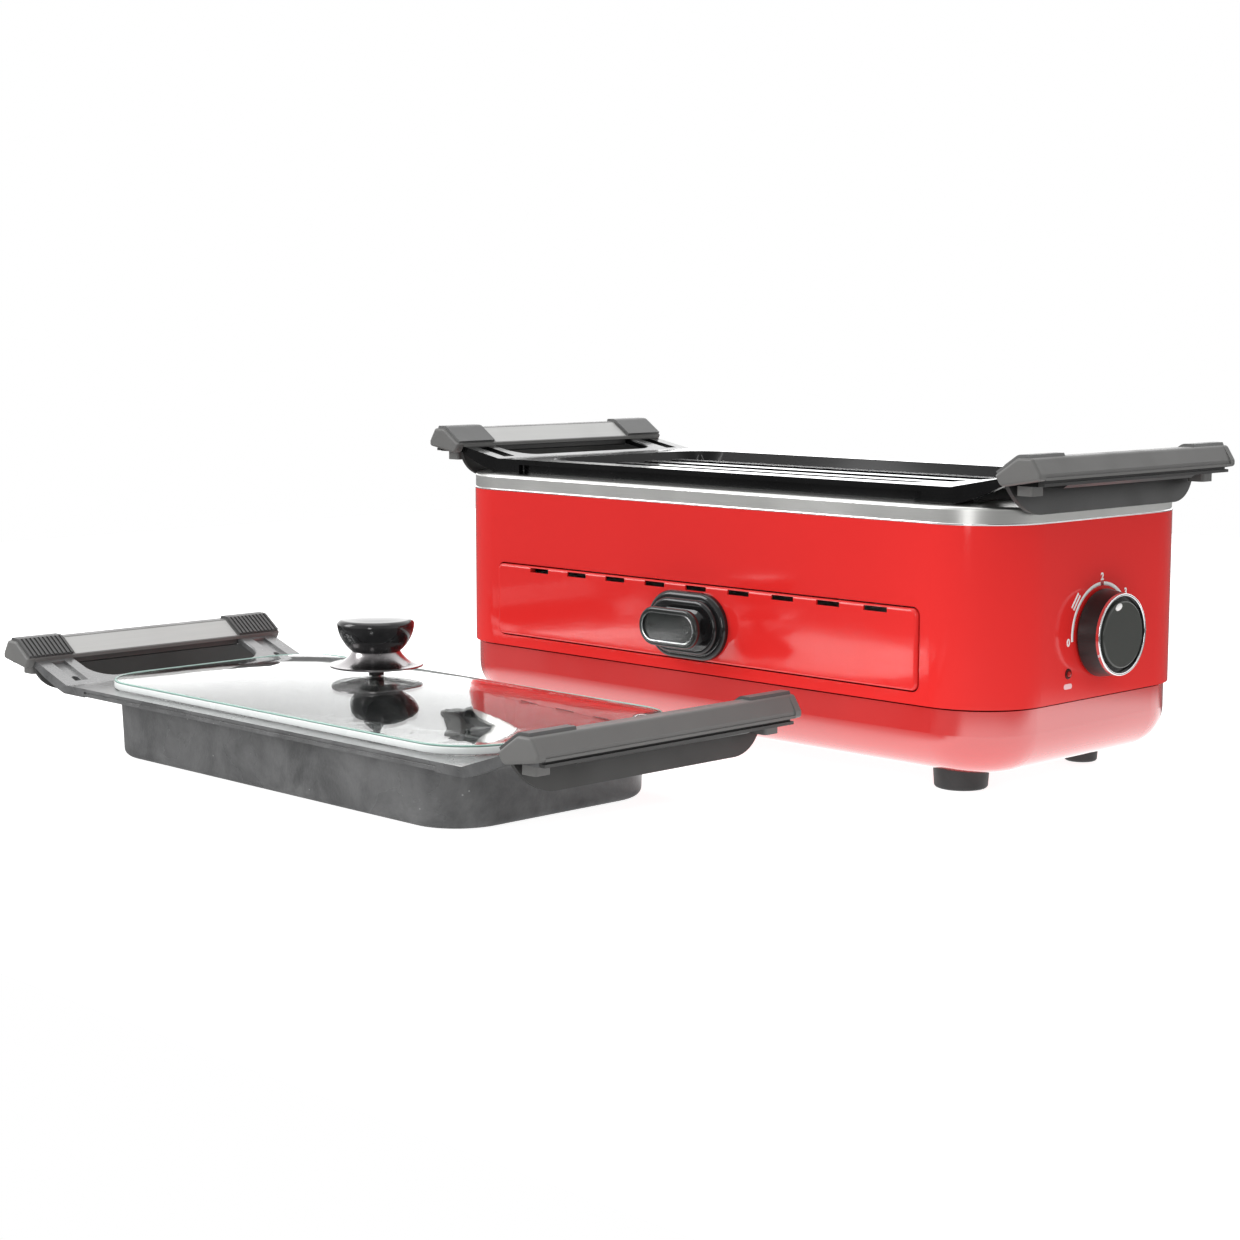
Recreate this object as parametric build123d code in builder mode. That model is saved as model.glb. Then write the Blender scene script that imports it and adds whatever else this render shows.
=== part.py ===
from build123d import *
import math
import os

os.makedirs("parts", exist_ok=True)

# An electric table grill with a slide-out drawer. A grill plate lies on the housing, and a deep
# pan with a domed glass lid stands on the table in front of it, to the left. All sizes are in mm.
# X runs to the right, Y to the back and Z up. The origin is on the table, in the middle of the
# ground that the whole set covers.

# Housing, outside
housing_length = 380.0
housing_depth = 169.0
housing_corner = 37.0
sheet = 1.5
foot_height = 10.7
skirt_height = 32.3
shell_height = 85.6
band_height = 8.6
seam_gap = 1.0
skirt_inset = 2.0
skirt_wall = 2.5
skirt_round = 20.0
flange_width = 54.0
flange_width_side = 50.0
band_inset = 0.3
band_sheet = 1.2
band_edge_round = 1.6
collar_drop = 7.0

# Clearances
slide_gap = 0.3
side_gap = 0.8
reveal = 0.7
shaft_gap = 0.05
screw_gap = 0.05
hole_gap = 0.3

# Feet and their screws
front_foot_diameter = 25.6
rear_foot_diameter = 16.4
foot_flare = 4.0
foot_edge_round = 1.6
foot_from_end = 44.0
foot_from_front = 35.2
foot_screw_diameter = 4.0
foot_screw_head = 7.4
foot_screw_head_height = 2.4
foot_screw_recess = 4.0
post_wall = 3.0

# Opening that takes the plate or the pan
opening_margin_end = 46.5
opening_margin_side = 14.0
opening_corner = 31.0
liner_gap = 0.5
liner_sheet = 1.0
liner_top_flange = 8.0
liner_bottom_flange = 8.0
liner_height = 44.0

# Heating element
element_diameter = 6.6
element_below_band = 37.0
element_pitch = 30.0
element_legs = 4
element_end_room = 24.0
element_tail = 14.0
bush_wall = 1.6
bush_flange = 2.4
bush_length = 3.0
clip_width = 9.0
clip_sheet = 1.2
clip_from_middle = 62.0
clip_bend = 2.0

# Drawer
drawer_margin = 43.3
drawer_bottom_gap = 7.0
drawer_height = 38.8
drawer_corner = 3.6
drawer_panel = 3.6
drawer_proud = 1.6
drawer_edge_round = 1.6
tray_sheet = 1.0
tray_rear_room = 4.4
tray_corner = 6.0
tray_height = 29.0
tray_above_panel_bottom = 3.0
runner_sheet = 1.5
runner_shelf = 12.0
runner_foot = 9.0
runner_height = 26.0
runner_front_room = 5.0
vent_count = 9
vent_width = 14.3
vent_height = 2.4
vent_top_edge = 0.8
vent_left_margin = 26.8
vent_right_margin = 17.8
vent_web = 1.0
vent_pocket_height = 3.2

# Drawer pull
pull_below_top = 21.0
pull_base_width = 54.7
pull_base_height = 34.6
pull_base_depth = 3.6
pull_base_round = 2.4
pull_step_width = 47.2
pull_step_height = 27.8
pull_step_depth = 2.6
pull_step_round = 1.8
pull_neck_depth = 6.4
pull_neck_width = 29.0
pull_neck_height = 11.0
pull_neck_foot_flare = 7.0
pull_neck_top_flare = 4.0
pull_neck_waist = 0.6
pull_grip_width = 41.0
pull_grip_height = 19.8
pull_grip_depth = 3.4
pull_grip_front_round = 1.4
pull_grip_back_round = 0.9
pull_face_border = 2.4
pull_ring_width = 0.6
pull_ring_depth = 1.0
pull_screw_pitch = 18.0
pull_screw_diameter = 3.0

# Dial on the right end
dial_height = 74.2
dial_forward = 0.5
dial_back_gap = 0.8
dial_base_diameter = 42.4
dial_front_diameter = 39.2
dial_depth = 9.7
dial_edge_round = 0.8
dial_ring_width = 1.3
dial_ring_depth = 2.0
dial_ring_round = 0.5
dial_groove = 2.2
dial_cap_depth = 3.3
dial_recess = 1.0
dial_cavity_diameter = 18.0
dial_cavity_depth = 4.6
shaft_diameter = 6.0
shaft_in_knob = 3.4
shaft_in_control = 14.0
bushing_diameter = 9.4
bushing_reach = 3.8
nut_across_flats = 13.0
nut_height = 2.2
control_depth = 26.0
control_width = 34.0
control_height = 30.0
control_corner = 3.0

# Indicator lamp on the right end
lamp_height = 56.8
lamp_forward = 26.5
lamp_diameter = 5.0
lamp_head_depth = 5.0
lamp_flange = 1.2
lamp_proud = 0.6
lamp_round = 0.5

# Power inlet on the back
inlet_from_right = 52.0
inlet_height = 70.0
inlet_width = 30.0
inlet_tall = 20.0
inlet_rim = 3.0
inlet_corner = 3.0
inlet_proud = 1.6
inlet_depth = 20.0
inlet_wall = 2.0
inlet_back = 3.0
inlet_pin_pitch = 10.0
inlet_pin_diameter = 4.0
inlet_pin_length = 9.0
inlet_pin_tail = 8.0

# Terminal block
block_length = 34.0
block_depth = 16.0
block_gap = 0.2
block_holes = 3
block_hole_diameter = 6.4

# Cast rim shared by the plate and the pan
seat_overlap_end = 13.5
seat_overlap_side = 5.5
wing_thickness = 3.0
wing_run = 28.5
wing_overlap = 6.0
window_margin = 6.0
window_half_in = 53.0
window_half_out = 54.0
window_round = 13.0
window_edge_round = 1.1
web_thickness = 3.0
web_run = 1.5
web_inboard = 17.0
web_foot = 2.0
web_tip = 0.5
web_belly_run = 0.62
web_belly_drop = 0.36
bend_shift = 1.0
groove_from_edge = 11.5
groove_width = 8.0
groove_depth = 1.5
groove_end = 2.0
oval_length = 7.0
oval_width = 3.4

# Grips
grip_overhang = 20.5
grip_setback = 3.5
grip_width = 25.0
grip_slope_run = 12.5
grip_outer_run = 4.5
grip_split = 10.0
grip_inner_lip = 1.6
grip_outer_edge = 7.0
grip_crown_round = 4.0
grip_shoulder_round = 2.2
grip_rim_proud = 0.6
grip_rim_height = 1.2
grip_cheek = 4.6
grip_cheek_drop = 13.7
grip_nose_in = 3.0
grip_nose_round = 3.6
grip_corner_round = 1.5
grip_lip_round = 0.8
grip_end_round = 1.4
grip_cap_length = 29.0
grip_cap_thickness = 1.4
grip_cap_from_lip = 0.8
grip_cap_from_shoulder = 1.6
insert_depth = 1.0
insert_margin = 0.8
guard_depth = 4.8
guard_inboard = 2.0
guard_bevel = 3.0
guard_neck = 1.2
guard_rail_gap = 1.4
guard_rail_height = 1.4
guard_rail_in = 1.0
guard_panel_thickness = 2.4
guard_panel_drop = 27.3
guard_panel_lean = 3.2
guard_panel_top_trim = 5.2
guard_panel_bottom_trim = 28.0
guard_panel_belly = 0.52
guard_panel_belly_rise = 3.4
rib_count = 10
rib_pitch = 2.5
rib_gap = 1.1
rib_depth = 0.8
grip_screw_diameter = 3.0
grip_screw_head = 6.0
grip_screw_head_height = 2.0
grip_screw_reach = 6.5
grip_foot_size = 9.0
grip_foot_corner = 1.5
grip_foot_drop = 4.6
grip_foot_from_edge = 6.0
grip_foot_from_outside = 13.0

# Grill plate
plate_lip = 8.3
plate_lip_top = 2.8
plate_tier_corner = 20.0
plate_field_margin_end = 20.0
plate_field_margin_side = 12.0
plate_field_corner = 20.0
plate_field_depth = 5.5
plate_field_draft = 30.0
plate_floor = 4.6
plate_skirt_drop = 6.0
plate_skirt_wall = 4.0
plate_fit = 1.5
plate_grip_rise = 15.3
plate_web = 8.0
drain_rows = 5
drain_columns = 16
drain_row_pitch = 22.0
drain_pitch = 15.3
drain_length = 9.0
drain_width = 4.0
rib_bar_length = 250.0
rib_bar_width = 9.0
rib_bar_height = 2.0
nub_diameter = 6.0
nub_height = 4.0
nub_draft = 28.0
nub_inset = 9.0

# Pan
pan_height = 34.3
pan_wall = 3.2
pan_floor = 3.5
pan_clearance = 5.0
pan_corner = 27.0
pan_draft = 2.4
pan_bottom_round = 4.0
pan_inner_round = 3.0
pan_lip = 4.0
pan_lip_groove = 0.9
pan_grip_rise = 19.3
pan_web = 4.5

# Lid
lid_inset_end = 10.0
lid_inset_side = 6.0
lid_back = 3.5
lid_corner = 30.0
dome_reach = 1.1
dome_cut = 2.0
lid_glass = 3.8
lid_rise = 10.0
lid_screw_diameter = 4.0
lid_hole_diameter = 4.6
lid_spacer_diameter = 7.4
lid_spacer_height = 4.6
lid_washer_diameter = 10.0
lid_washer_height = 1.2
lid_screw_head = 8.0
lid_screw_head_height = 2.4
skirt_ring_radius = 23.0
skirt_ring_height = 7.4
skirt_ring_sheet = 0.9
skirt_lip_in = 1.5
skirt_lip_rise = 2.4
skirt_sweep_out = 4.0
skirt_sweep_up = 3.0
knob_neck_radius = 11.8
knob_radius = 18.9
knob_height = 16.4
knob_crown = 0.7
knob_crown_half_way = 0.75
knob_crown_start = 0.05
knob_edge_round = 2.6
knob_shoulder_in = 0.7
knob_belly_out = 5.2
knob_belly_up = 6.4
knob_screw_depth = 8.2

# Where the pan stands
pan_left = 79.0
pan_forward = 229.0

# Places that follow from the sizes above
grip_reach = housing_length / 2 + grip_overhang
grip_length = housing_depth - 2 * grip_setback
unit_x = pan_left / 2
pan_x = unit_x - pan_left
unit_y = (pan_forward + grip_length / 2 - housing_depth / 2 - inlet_proud) / 2
pan_y = unit_y - pan_forward
seam_z = foot_height + skirt_height
shell_z = seam_z + seam_gap / 2
shell_top = seam_z + shell_height
band_top = shell_top + band_height
opening_length = housing_length - 2 * opening_margin_end
opening_depth = housing_depth - 2 * opening_margin_side
flange_length = opening_length + 2 * seat_overlap_end
flange_depth = opening_depth + 2 * seat_overlap_side
foot_x = housing_length / 2 - foot_from_end
foot_y = housing_depth / 2 - foot_from_front
drawer_width = housing_length - 2 * drawer_margin
drawer_z = seam_z + drawer_bottom_gap
drawer_middle = drawer_z + drawer_height / 2
drawer_top = drawer_z + drawer_height
panel_front = housing_depth / 2 + drawer_proud
panel_back = panel_front - drawer_panel
tray_back_limit = housing_depth / 2 + inlet_proud - inlet_depth - inlet_pin_tail - tray_rear_room


def unit_level(z):
    # A level plane in the middle of the housing
    return Plane(origin=(unit_x, unit_y, z))


def unit_front(out=0.0):
    # Looks at the front, X to the right and Y up, out of the front face by out
    spot = (unit_x, unit_y - housing_depth / 2 - out, 0)
    return Plane(origin=spot, x_dir=(1, 0, 0), z_dir=(0, -1, 0))


def unit_right(out=0.0, forward=0.0, height=0.0):
    # Looks at the right end, X to the back and Y up
    spot = (unit_x + housing_length / 2 + out, unit_y - forward, height)
    return Plane(origin=spot, x_dir=(0, 1, 0), z_dir=(1, 0, 0))


def unit_rear(out=0.0, right=0.0, height=0.0):
    # Looks at the back, X to the left end and Y up
    spot = (unit_x + right, unit_y + housing_depth / 2 + out, height)
    return Plane(origin=spot, x_dir=(-1, 0, 0), z_dir=(0, 1, 0))


def end_profile(centre, side):
    # An upright section of a wing or grip, X outwards and Y up
    spot = (centre[0], centre[1], 0)
    return Plane(origin=spot, x_dir=(side, 0, 0), z_dir=(0, -side, 0))


def end_plan(centre, side, z):
    # A level plane with X outwards
    return Plane(origin=(centre[0], centre[1], z), x_dir=(side, 0, 0), z_dir=(0, 0, 1))


def keep(piece, name):
    piece.part.label = name
    export_step(piece.part, f"parts/{name}.step")


# Upper shell: one drawn sheet with a wide bottom flange, cut for the drawer, dial, lamp and inlet
shell_wall_height = shell_top - shell_z
with BuildPart() as upper_shell:
    with BuildSketch(unit_level(shell_z)):
        RectangleRounded(housing_length, housing_depth, housing_corner)
    extrude(amount=shell_wall_height)
    with BuildSketch(unit_level(shell_z + sheet)):
        RectangleRounded(housing_length - 2 * sheet, housing_depth - 2 * sheet, housing_corner - sheet)
    extrude(amount=shell_wall_height, mode=Mode.SUBTRACT)
    with BuildSketch(unit_level(shell_z)):
        RectangleRounded(
            housing_length - 2 * flange_width,
            housing_depth - 2 * flange_width_side,
            tray_corner,
        )
    extrude(amount=sheet, mode=Mode.SUBTRACT)
    with BuildSketch(unit_front()):
        with Locations((0, drawer_middle)):
            RectangleRounded(drawer_width + 2 * reveal, drawer_height + 2 * reveal, drawer_corner + reveal)
    extrude(amount=-2 * sheet, mode=Mode.SUBTRACT)
    with BuildSketch(unit_right(0, dial_forward, dial_height)):
        Circle(bushing_diameter / 2 + hole_gap)
    extrude(amount=-2 * sheet, mode=Mode.SUBTRACT)
    with BuildSketch(unit_right(0, lamp_forward, lamp_height)):
        Circle(lamp_diameter / 2)
    extrude(amount=-2 * sheet, mode=Mode.SUBTRACT)
    with BuildSketch(unit_rear(0, housing_length / 2 - inlet_from_right, inlet_height)):
        Rectangle(inlet_width, inlet_tall)
    extrude(amount=-2 * sheet, mode=Mode.SUBTRACT)
    with BuildSketch(unit_level(shell_z)):
        with GridLocations(2 * foot_x, 2 * foot_y, 2, 2):
            Circle(foot_screw_diameter / 2 + screw_gap)
    extrude(amount=sheet, mode=Mode.SUBTRACT)
keep(upper_shell, "upper_shell")

# Base tub: a deep tray with a large round at its foot and four screw posts
tub_top = seam_z - seam_gap / 2
tub_length = housing_length - 2 * skirt_inset
tub_depth = housing_depth - 2 * skirt_inset
tub_corner = housing_corner - skirt_inset
with BuildPart() as base_tub:
    with BuildSketch(unit_level(foot_height)):
        RectangleRounded(tub_length, tub_depth, tub_corner)
    extrude(amount=tub_top - foot_height)
    fillet(base_tub.faces().sort_by(Axis.Z)[0].edges(), skirt_round)
    offset(amount=-skirt_wall, openings=base_tub.faces().sort_by(Axis.Z)[-1])
    with BuildSketch(unit_level(foot_height + skirt_wall)):
        with GridLocations(2 * foot_x, 2 * foot_y, 2, 2):
            Circle(foot_screw_diameter / 2 + post_wall)
    extrude(amount=shell_z - foot_height - skirt_wall)
    with BuildSketch(unit_level(foot_height)):
        with GridLocations(2 * foot_x, 2 * foot_y, 2, 2):
            Circle(foot_screw_diameter / 2 + screw_gap)
    extrude(amount=shell_z - foot_height, mode=Mode.SUBTRACT)
keep(base_tub, "base_tub")

# Four rubber feet, the two at the back slimmer, each on its own long screw
foot_places = {
    "front_left": (-foot_x, -foot_y, front_foot_diameter),
    "front_right": (foot_x, -foot_y, front_foot_diameter),
    "rear_left": (-foot_x, foot_y, rear_foot_diameter),
    "rear_right": (foot_x, foot_y, rear_foot_diameter),
}
for foot_name, (foot_dx, foot_dy, foot_diameter) in foot_places.items():
    spot = (unit_x + foot_dx, unit_y + foot_dy, 0)
    with BuildPart() as foot:
        with BuildSketch(Plane(origin=spot)):
            Circle(foot_diameter / 2)
        extrude(amount=foot_height, taper=-foot_flare)
        fillet(foot.edges().group_by(Axis.Z)[0], foot_edge_round)
        with BuildSketch(Plane(origin=spot)):
            Circle(foot_screw_head / 2 + hole_gap)
        extrude(amount=foot_screw_recess, mode=Mode.SUBTRACT)
        with BuildSketch(Plane(origin=spot)):
            Circle(foot_screw_diameter / 2 + screw_gap)
        extrude(amount=foot_height, mode=Mode.SUBTRACT)
    keep(foot, f"foot_{foot_name}")

with BuildPart() as foot_screws:
    with BuildSketch(unit_level(foot_screw_recess - foot_screw_head_height)):
        with GridLocations(2 * foot_x, 2 * foot_y, 2, 2):
            Circle(foot_screw_head / 2)
    extrude(amount=foot_screw_head_height)
    with BuildSketch(unit_level(foot_screw_recess)):
        with GridLocations(2 * foot_x, 2 * foot_y, 2, 2):
            Circle(foot_screw_diameter / 2)
    extrude(amount=shell_z + sheet - slide_gap - foot_screw_recess)
keep(foot_screws, "foot_screws")

# Steel band round the top, with a flat ledge and a collar down into the opening
band_length = housing_length - 2 * band_inset
band_depth = housing_depth - 2 * band_inset
band_corner = housing_corner - band_inset
ledge_under = band_top - band_sheet
with BuildPart() as steel_band:
    with BuildSketch(unit_level(shell_top)):
        RectangleRounded(band_length, band_depth, band_corner)
    extrude(amount=band_height)
    fillet(steel_band.faces().sort_by(Axis.Z)[-1].edges(), band_edge_round)
    with BuildSketch(unit_level(shell_top)):
        RectangleRounded(band_length - 2 * band_sheet, band_depth - 2 * band_sheet, band_corner - band_sheet)
    extrude(amount=band_height - band_sheet, mode=Mode.SUBTRACT)
    with BuildSketch(unit_level(band_top - collar_drop)):
        RectangleRounded(
            opening_length + 2 * band_sheet,
            opening_depth + 2 * band_sheet,
            opening_corner + band_sheet,
        )
    extrude(amount=collar_drop)
    with BuildSketch(unit_level(band_top - collar_drop)):
        RectangleRounded(opening_length, opening_depth, opening_corner)
    extrude(amount=collar_drop, mode=Mode.SUBTRACT)
keep(steel_band, "steel_band")

# Heat liner: a sheet well that hangs under the band's ledge, open at the bottom to the drawer
liner_inside_length = opening_length + 2 * band_sheet + 2 * liner_gap
liner_inside_depth = opening_depth + 2 * band_sheet + 2 * liner_gap
liner_inside_corner = opening_corner + band_sheet + liner_gap
liner_bottom = ledge_under - liner_height
element_z = band_top - element_below_band
leg_rows = [element_pitch * (row - (element_legs - 1) / 2) for row in range(element_legs)]
with BuildPart() as heat_liner:
    with BuildSketch(unit_level(liner_bottom)):
        RectangleRounded(
            liner_inside_length + 2 * liner_sheet,
            liner_inside_depth + 2 * liner_sheet,
            liner_inside_corner + liner_sheet,
        )
    extrude(amount=liner_height)
    with BuildSketch(unit_level(ledge_under - liner_sheet)):
        RectangleRounded(
            liner_inside_length + 2 * liner_top_flange,
            liner_inside_depth + 2 * liner_top_flange,
            liner_inside_corner + liner_sheet,
        )
    extrude(amount=liner_sheet)
    with BuildSketch(unit_level(liner_bottom + liner_sheet)):
        RectangleRounded(liner_inside_length, liner_inside_depth, liner_inside_corner)
    extrude(amount=liner_height, mode=Mode.SUBTRACT)
    with BuildSketch(unit_level(liner_bottom)):
        RectangleRounded(
            liner_inside_length - 2 * liner_bottom_flange,
            liner_inside_depth - 2 * liner_bottom_flange,
            liner_inside_corner - liner_bottom_flange,
        )
    extrude(amount=liner_sheet, mode=Mode.SUBTRACT)
    with BuildSketch(unit_right(0, 0, element_z)):
        with Locations((leg_rows[0], 0), (leg_rows[3], 0)):
            Circle(element_diameter / 2 + bush_wall)
    extrude(amount=-housing_length / 2, mode=Mode.SUBTRACT)
keep(heat_liner, "heat_liner")

# Heating element: one tube in four legs, both tails through the liner's right wall
liner_face = liner_inside_length / 2 + liner_sheet
turn = element_pitch / 2
far_end = liner_inside_length / 2 - element_end_room - turn
near_end = liner_inside_length / 2 - element_end_room - turn
tail_end = liner_face + element_tail
with BuildPart() as heating_element:
    with BuildLine(unit_level(element_z)) as element_path:
        first = Line((tail_end, leg_rows[0]), (-far_end, leg_rows[0]))
        RadiusArc(first @ 1, (-far_end, leg_rows[1]), turn)
        second = Line((-far_end, leg_rows[1]), (near_end, leg_rows[1]))
        RadiusArc(second @ 1, (near_end, leg_rows[2]), -turn)
        third = Line((near_end, leg_rows[2]), (-far_end, leg_rows[2]))
        RadiusArc(third @ 1, (-far_end, leg_rows[3]), turn)
        Line((-far_end, leg_rows[3]), (tail_end, leg_rows[3]))
    with BuildSketch(
        Plane(
            origin=(unit_x + tail_end, unit_y + leg_rows[0], element_z),
            x_dir=(0, 1, 0),
            z_dir=(-1, 0, 0),
        )
    ):
        Circle(element_diameter / 2)
    sweep(path=element_path.wires()[0])
keep(heating_element, "heating_element")

with BuildPart() as element_bushes:
    with BuildSketch(unit_right(liner_face - housing_length / 2, 0, element_z)):
        with Locations((leg_rows[0], 0), (leg_rows[3], 0)):
            Circle(element_diameter / 2 + bush_wall + bush_flange)
    extrude(amount=bush_length)
    with BuildSketch(unit_right(liner_face - liner_sheet - housing_length / 2, 0, element_z)):
        with Locations((leg_rows[0], 0), (leg_rows[3], 0)):
            Circle(element_diameter / 2 + bush_wall)
    extrude(amount=liner_sheet)
    with BuildSketch(unit_right(liner_face - liner_sheet - housing_length / 2, 0, element_z)):
        with Locations((leg_rows[0], 0), (leg_rows[3], 0)):
            Circle(element_diameter / 2 + shaft_gap)
    extrude(amount=liner_sheet + bush_length, mode=Mode.SUBTRACT)
keep(element_bushes, "element_bushes")

# Element clips: two bent straps that rest on the liner's bottom flange and carry the legs
clip_top = element_z - element_diameter / 2 - shaft_gap
clip_seat = liner_bottom + liner_sheet
clip_end = liner_inside_depth / 2 - slide_gap
clip_knee = clip_end - liner_bottom_flange
with BuildPart() as element_clips:
    for clip_side in (-1, 1):
        clip_plane = Plane(
            origin=(unit_x + clip_side * clip_from_middle, unit_y, 0), x_dir=(0, 1, 0), z_dir=(1, 0, 0)
        )
        with BuildSketch(clip_plane):
            with BuildLine():
                Polyline(
                    (-clip_end, clip_seat),
                    (-clip_knee, clip_seat),
                    (-clip_knee + clip_bend, clip_top - clip_sheet),
                    (clip_knee - clip_bend, clip_top - clip_sheet),
                    (clip_knee, clip_seat),
                    (clip_end, clip_seat),
                    (clip_end, clip_seat + clip_sheet),
                    (clip_knee - clip_sheet / 2, clip_seat + clip_sheet),
                    (clip_knee - clip_bend - clip_sheet / 2, clip_top),
                    (-clip_knee + clip_bend + clip_sheet / 2, clip_top),
                    (-clip_knee + clip_sheet / 2, clip_seat + clip_sheet),
                    (-clip_end, clip_seat + clip_sheet),
                    close=True,
                )
            make_face()
        extrude(amount=clip_width / 2, both=True)
keep(element_clips, "element_clips")

# Drawer runners: folded sheet rails, each standing on the shell's bottom flange
tray_width = drawer_width - 2 * side_gap
tray_z = drawer_z + tray_above_panel_bottom
runner_seat = shell_z + sheet
shelf_top = tray_z - slide_gap
web_in = tray_width / 2 + side_gap
tray_length = panel_back + tray_back_limit
runner_front = panel_back - runner_front_room
runner_length = runner_front + tray_back_limit
runner_middle = (tray_back_limit - runner_front) / 2
for runner_name, runner_side in (("left", -1), ("right", 1)):
    with BuildPart() as runner:
        with BuildSketch(end_profile((unit_x, unit_y + runner_middle), runner_side)):
            with BuildLine():
                Polyline(
                    (web_in, shelf_top),
                    (web_in, runner_seat + runner_height),
                    (web_in + runner_sheet, runner_seat + runner_height),
                    (web_in + runner_sheet, runner_seat + runner_sheet),
                    (web_in + runner_foot, runner_seat + runner_sheet),
                    (web_in + runner_foot, runner_seat),
                    (web_in, runner_seat),
                    (web_in, shelf_top - runner_sheet),
                    (web_in - runner_shelf, shelf_top - runner_sheet),
                    (web_in - runner_shelf, shelf_top),
                    close=True,
                )
            make_face()
        extrude(amount=runner_length / 2, both=True)
    keep(runner, f"drawer_runner_{runner_name}")

# Drawer front with its row of vents and two screw holes
pull_z = drawer_top - pull_below_top
vent_row = drawer_width - vent_left_margin - vent_right_margin
vent_pitch = (vent_row - vent_width) / (vent_count - 1)
vent_middle = (vent_left_margin - vent_right_margin) / 2
vent_top = drawer_top - vent_top_edge
with BuildPart() as drawer_front:
    with BuildSketch(unit_front(drawer_proud)):
        with Locations((0, drawer_middle)):
            RectangleRounded(drawer_width, drawer_height, drawer_corner)
    extrude(amount=-drawer_panel)
    fillet(drawer_front.faces().sort_by(Axis.Y)[0].edges(), drawer_edge_round)
    with BuildSketch(unit_front(drawer_proud)):
        with Locations((vent_middle, vent_top - vent_height / 2)):
            with GridLocations(vent_pitch, 1, vent_count, 1):
                Rectangle(vent_width, vent_height)
        with Locations((0, pull_z)):
            with GridLocations(pull_screw_pitch, 1, 2, 1):
                Circle(pull_screw_diameter / 2 + screw_gap)
    extrude(amount=-drawer_panel, mode=Mode.SUBTRACT)
    with BuildSketch(unit_front(drawer_proud - vent_web)):
        with Locations((vent_middle, vent_top - vent_pocket_height / 2)):
            Rectangle(vent_row, vent_pocket_height)
    extrude(amount=vent_web - drawer_panel, mode=Mode.SUBTRACT)
keep(drawer_front, "drawer_front")

# Drawer tray: a folded steel tray fixed to the back of the drawer front
with BuildPart() as drawer_tray:
    with BuildSketch(Plane(origin=(unit_x, unit_y - panel_back + tray_length / 2, tray_z))):
        Rectangle(tray_width, tray_length)
    extrude(amount=tray_height)
    fillet(drawer_tray.edges().filter_by(Axis.Z).sort_by(Axis.Y)[2:], tray_corner)
    offset(amount=-tray_sheet, openings=drawer_tray.faces().sort_by(Axis.Z)[-1])
    with BuildSketch(unit_front()):
        with Locations((0, pull_z)):
            with GridLocations(pull_screw_pitch, 1, 2, 1):
                Circle(pull_screw_diameter / 2 + screw_gap)
    extrude(amount=-tray_corner - drawer_panel, mode=Mode.SUBTRACT)
keep(drawer_tray, "drawer_tray")

# Drawer pull: a stepped oval foot with a waisted neck, an oval grip and a bright inlaid ring
step_start = drawer_proud + pull_base_depth
neck_start = step_start + pull_step_depth
grip_start = neck_start + pull_neck_depth
with BuildPart() as pull_base:
    with BuildSketch(unit_front(drawer_proud)):
        with Locations((0, pull_z)):
            SlotOverall(pull_base_width, pull_base_height)
    extrude(amount=pull_base_depth)
    fillet(pull_base.faces().sort_by(Axis.Y)[0].edges(), pull_base_round)
    with BuildSketch(unit_front(step_start)):
        with Locations((0, pull_z)):
            SlotOverall(pull_step_width, pull_step_height)
    extrude(amount=pull_step_depth)
    fillet(pull_base.faces().sort_by(Axis.Y)[0].edges(), pull_step_round)
    with BuildSketch(unit_front(neck_start)):
        with Locations((0, pull_z)):
            SlotOverall(pull_neck_width + pull_neck_foot_flare, pull_neck_height + pull_neck_foot_flare)
    with BuildSketch(unit_front(neck_start + pull_neck_depth * pull_neck_waist)):
        with Locations((0, pull_z)):
            SlotOverall(pull_neck_width, pull_neck_height)
    with BuildSketch(unit_front(grip_start)):
        with Locations((0, pull_z)):
            SlotOverall(pull_neck_width + pull_neck_top_flare, pull_neck_height + pull_neck_top_flare)
    loft()
    with BuildSketch(unit_front(drawer_proud)):
        with Locations((0, pull_z)):
            with GridLocations(pull_screw_pitch, 1, 2, 1):
                Circle(pull_screw_diameter / 2 + screw_gap)
    extrude(amount=pull_base_depth + pull_step_depth, mode=Mode.SUBTRACT)
keep(pull_base, "pull_base")

face_width = pull_grip_width - 2 * pull_face_border
face_height = pull_grip_height - 2 * pull_face_border
with BuildPart() as pull_grip:
    with BuildSketch(unit_front(grip_start)):
        with Locations((0, pull_z)):
            SlotOverall(pull_grip_width, pull_grip_height)
    extrude(amount=pull_grip_depth)
    fillet(pull_grip.faces().sort_by(Axis.Y)[0].edges(), pull_grip_front_round)
    fillet(pull_grip.faces().sort_by(Axis.Y)[-1].edges(), pull_grip_back_round)
    with BuildSketch(unit_front(grip_start + pull_grip_depth)):
        with Locations((0, pull_z)):
            SlotOverall(face_width, face_height)
    extrude(amount=-pull_ring_depth, mode=Mode.SUBTRACT)
keep(pull_grip, "pull_grip")

with BuildPart() as pull_ring:
    with BuildSketch(unit_front(grip_start + pull_grip_depth - pull_ring_depth)):
        with Locations((0, pull_z)):
            SlotOverall(face_width, face_height)
            SlotOverall(
                face_width - 2 * pull_ring_width,
                face_height - 2 * pull_ring_width,
                mode=Mode.SUBTRACT,
            )
    extrude(amount=pull_ring_depth)
keep(pull_ring, "pull_ring")

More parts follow.
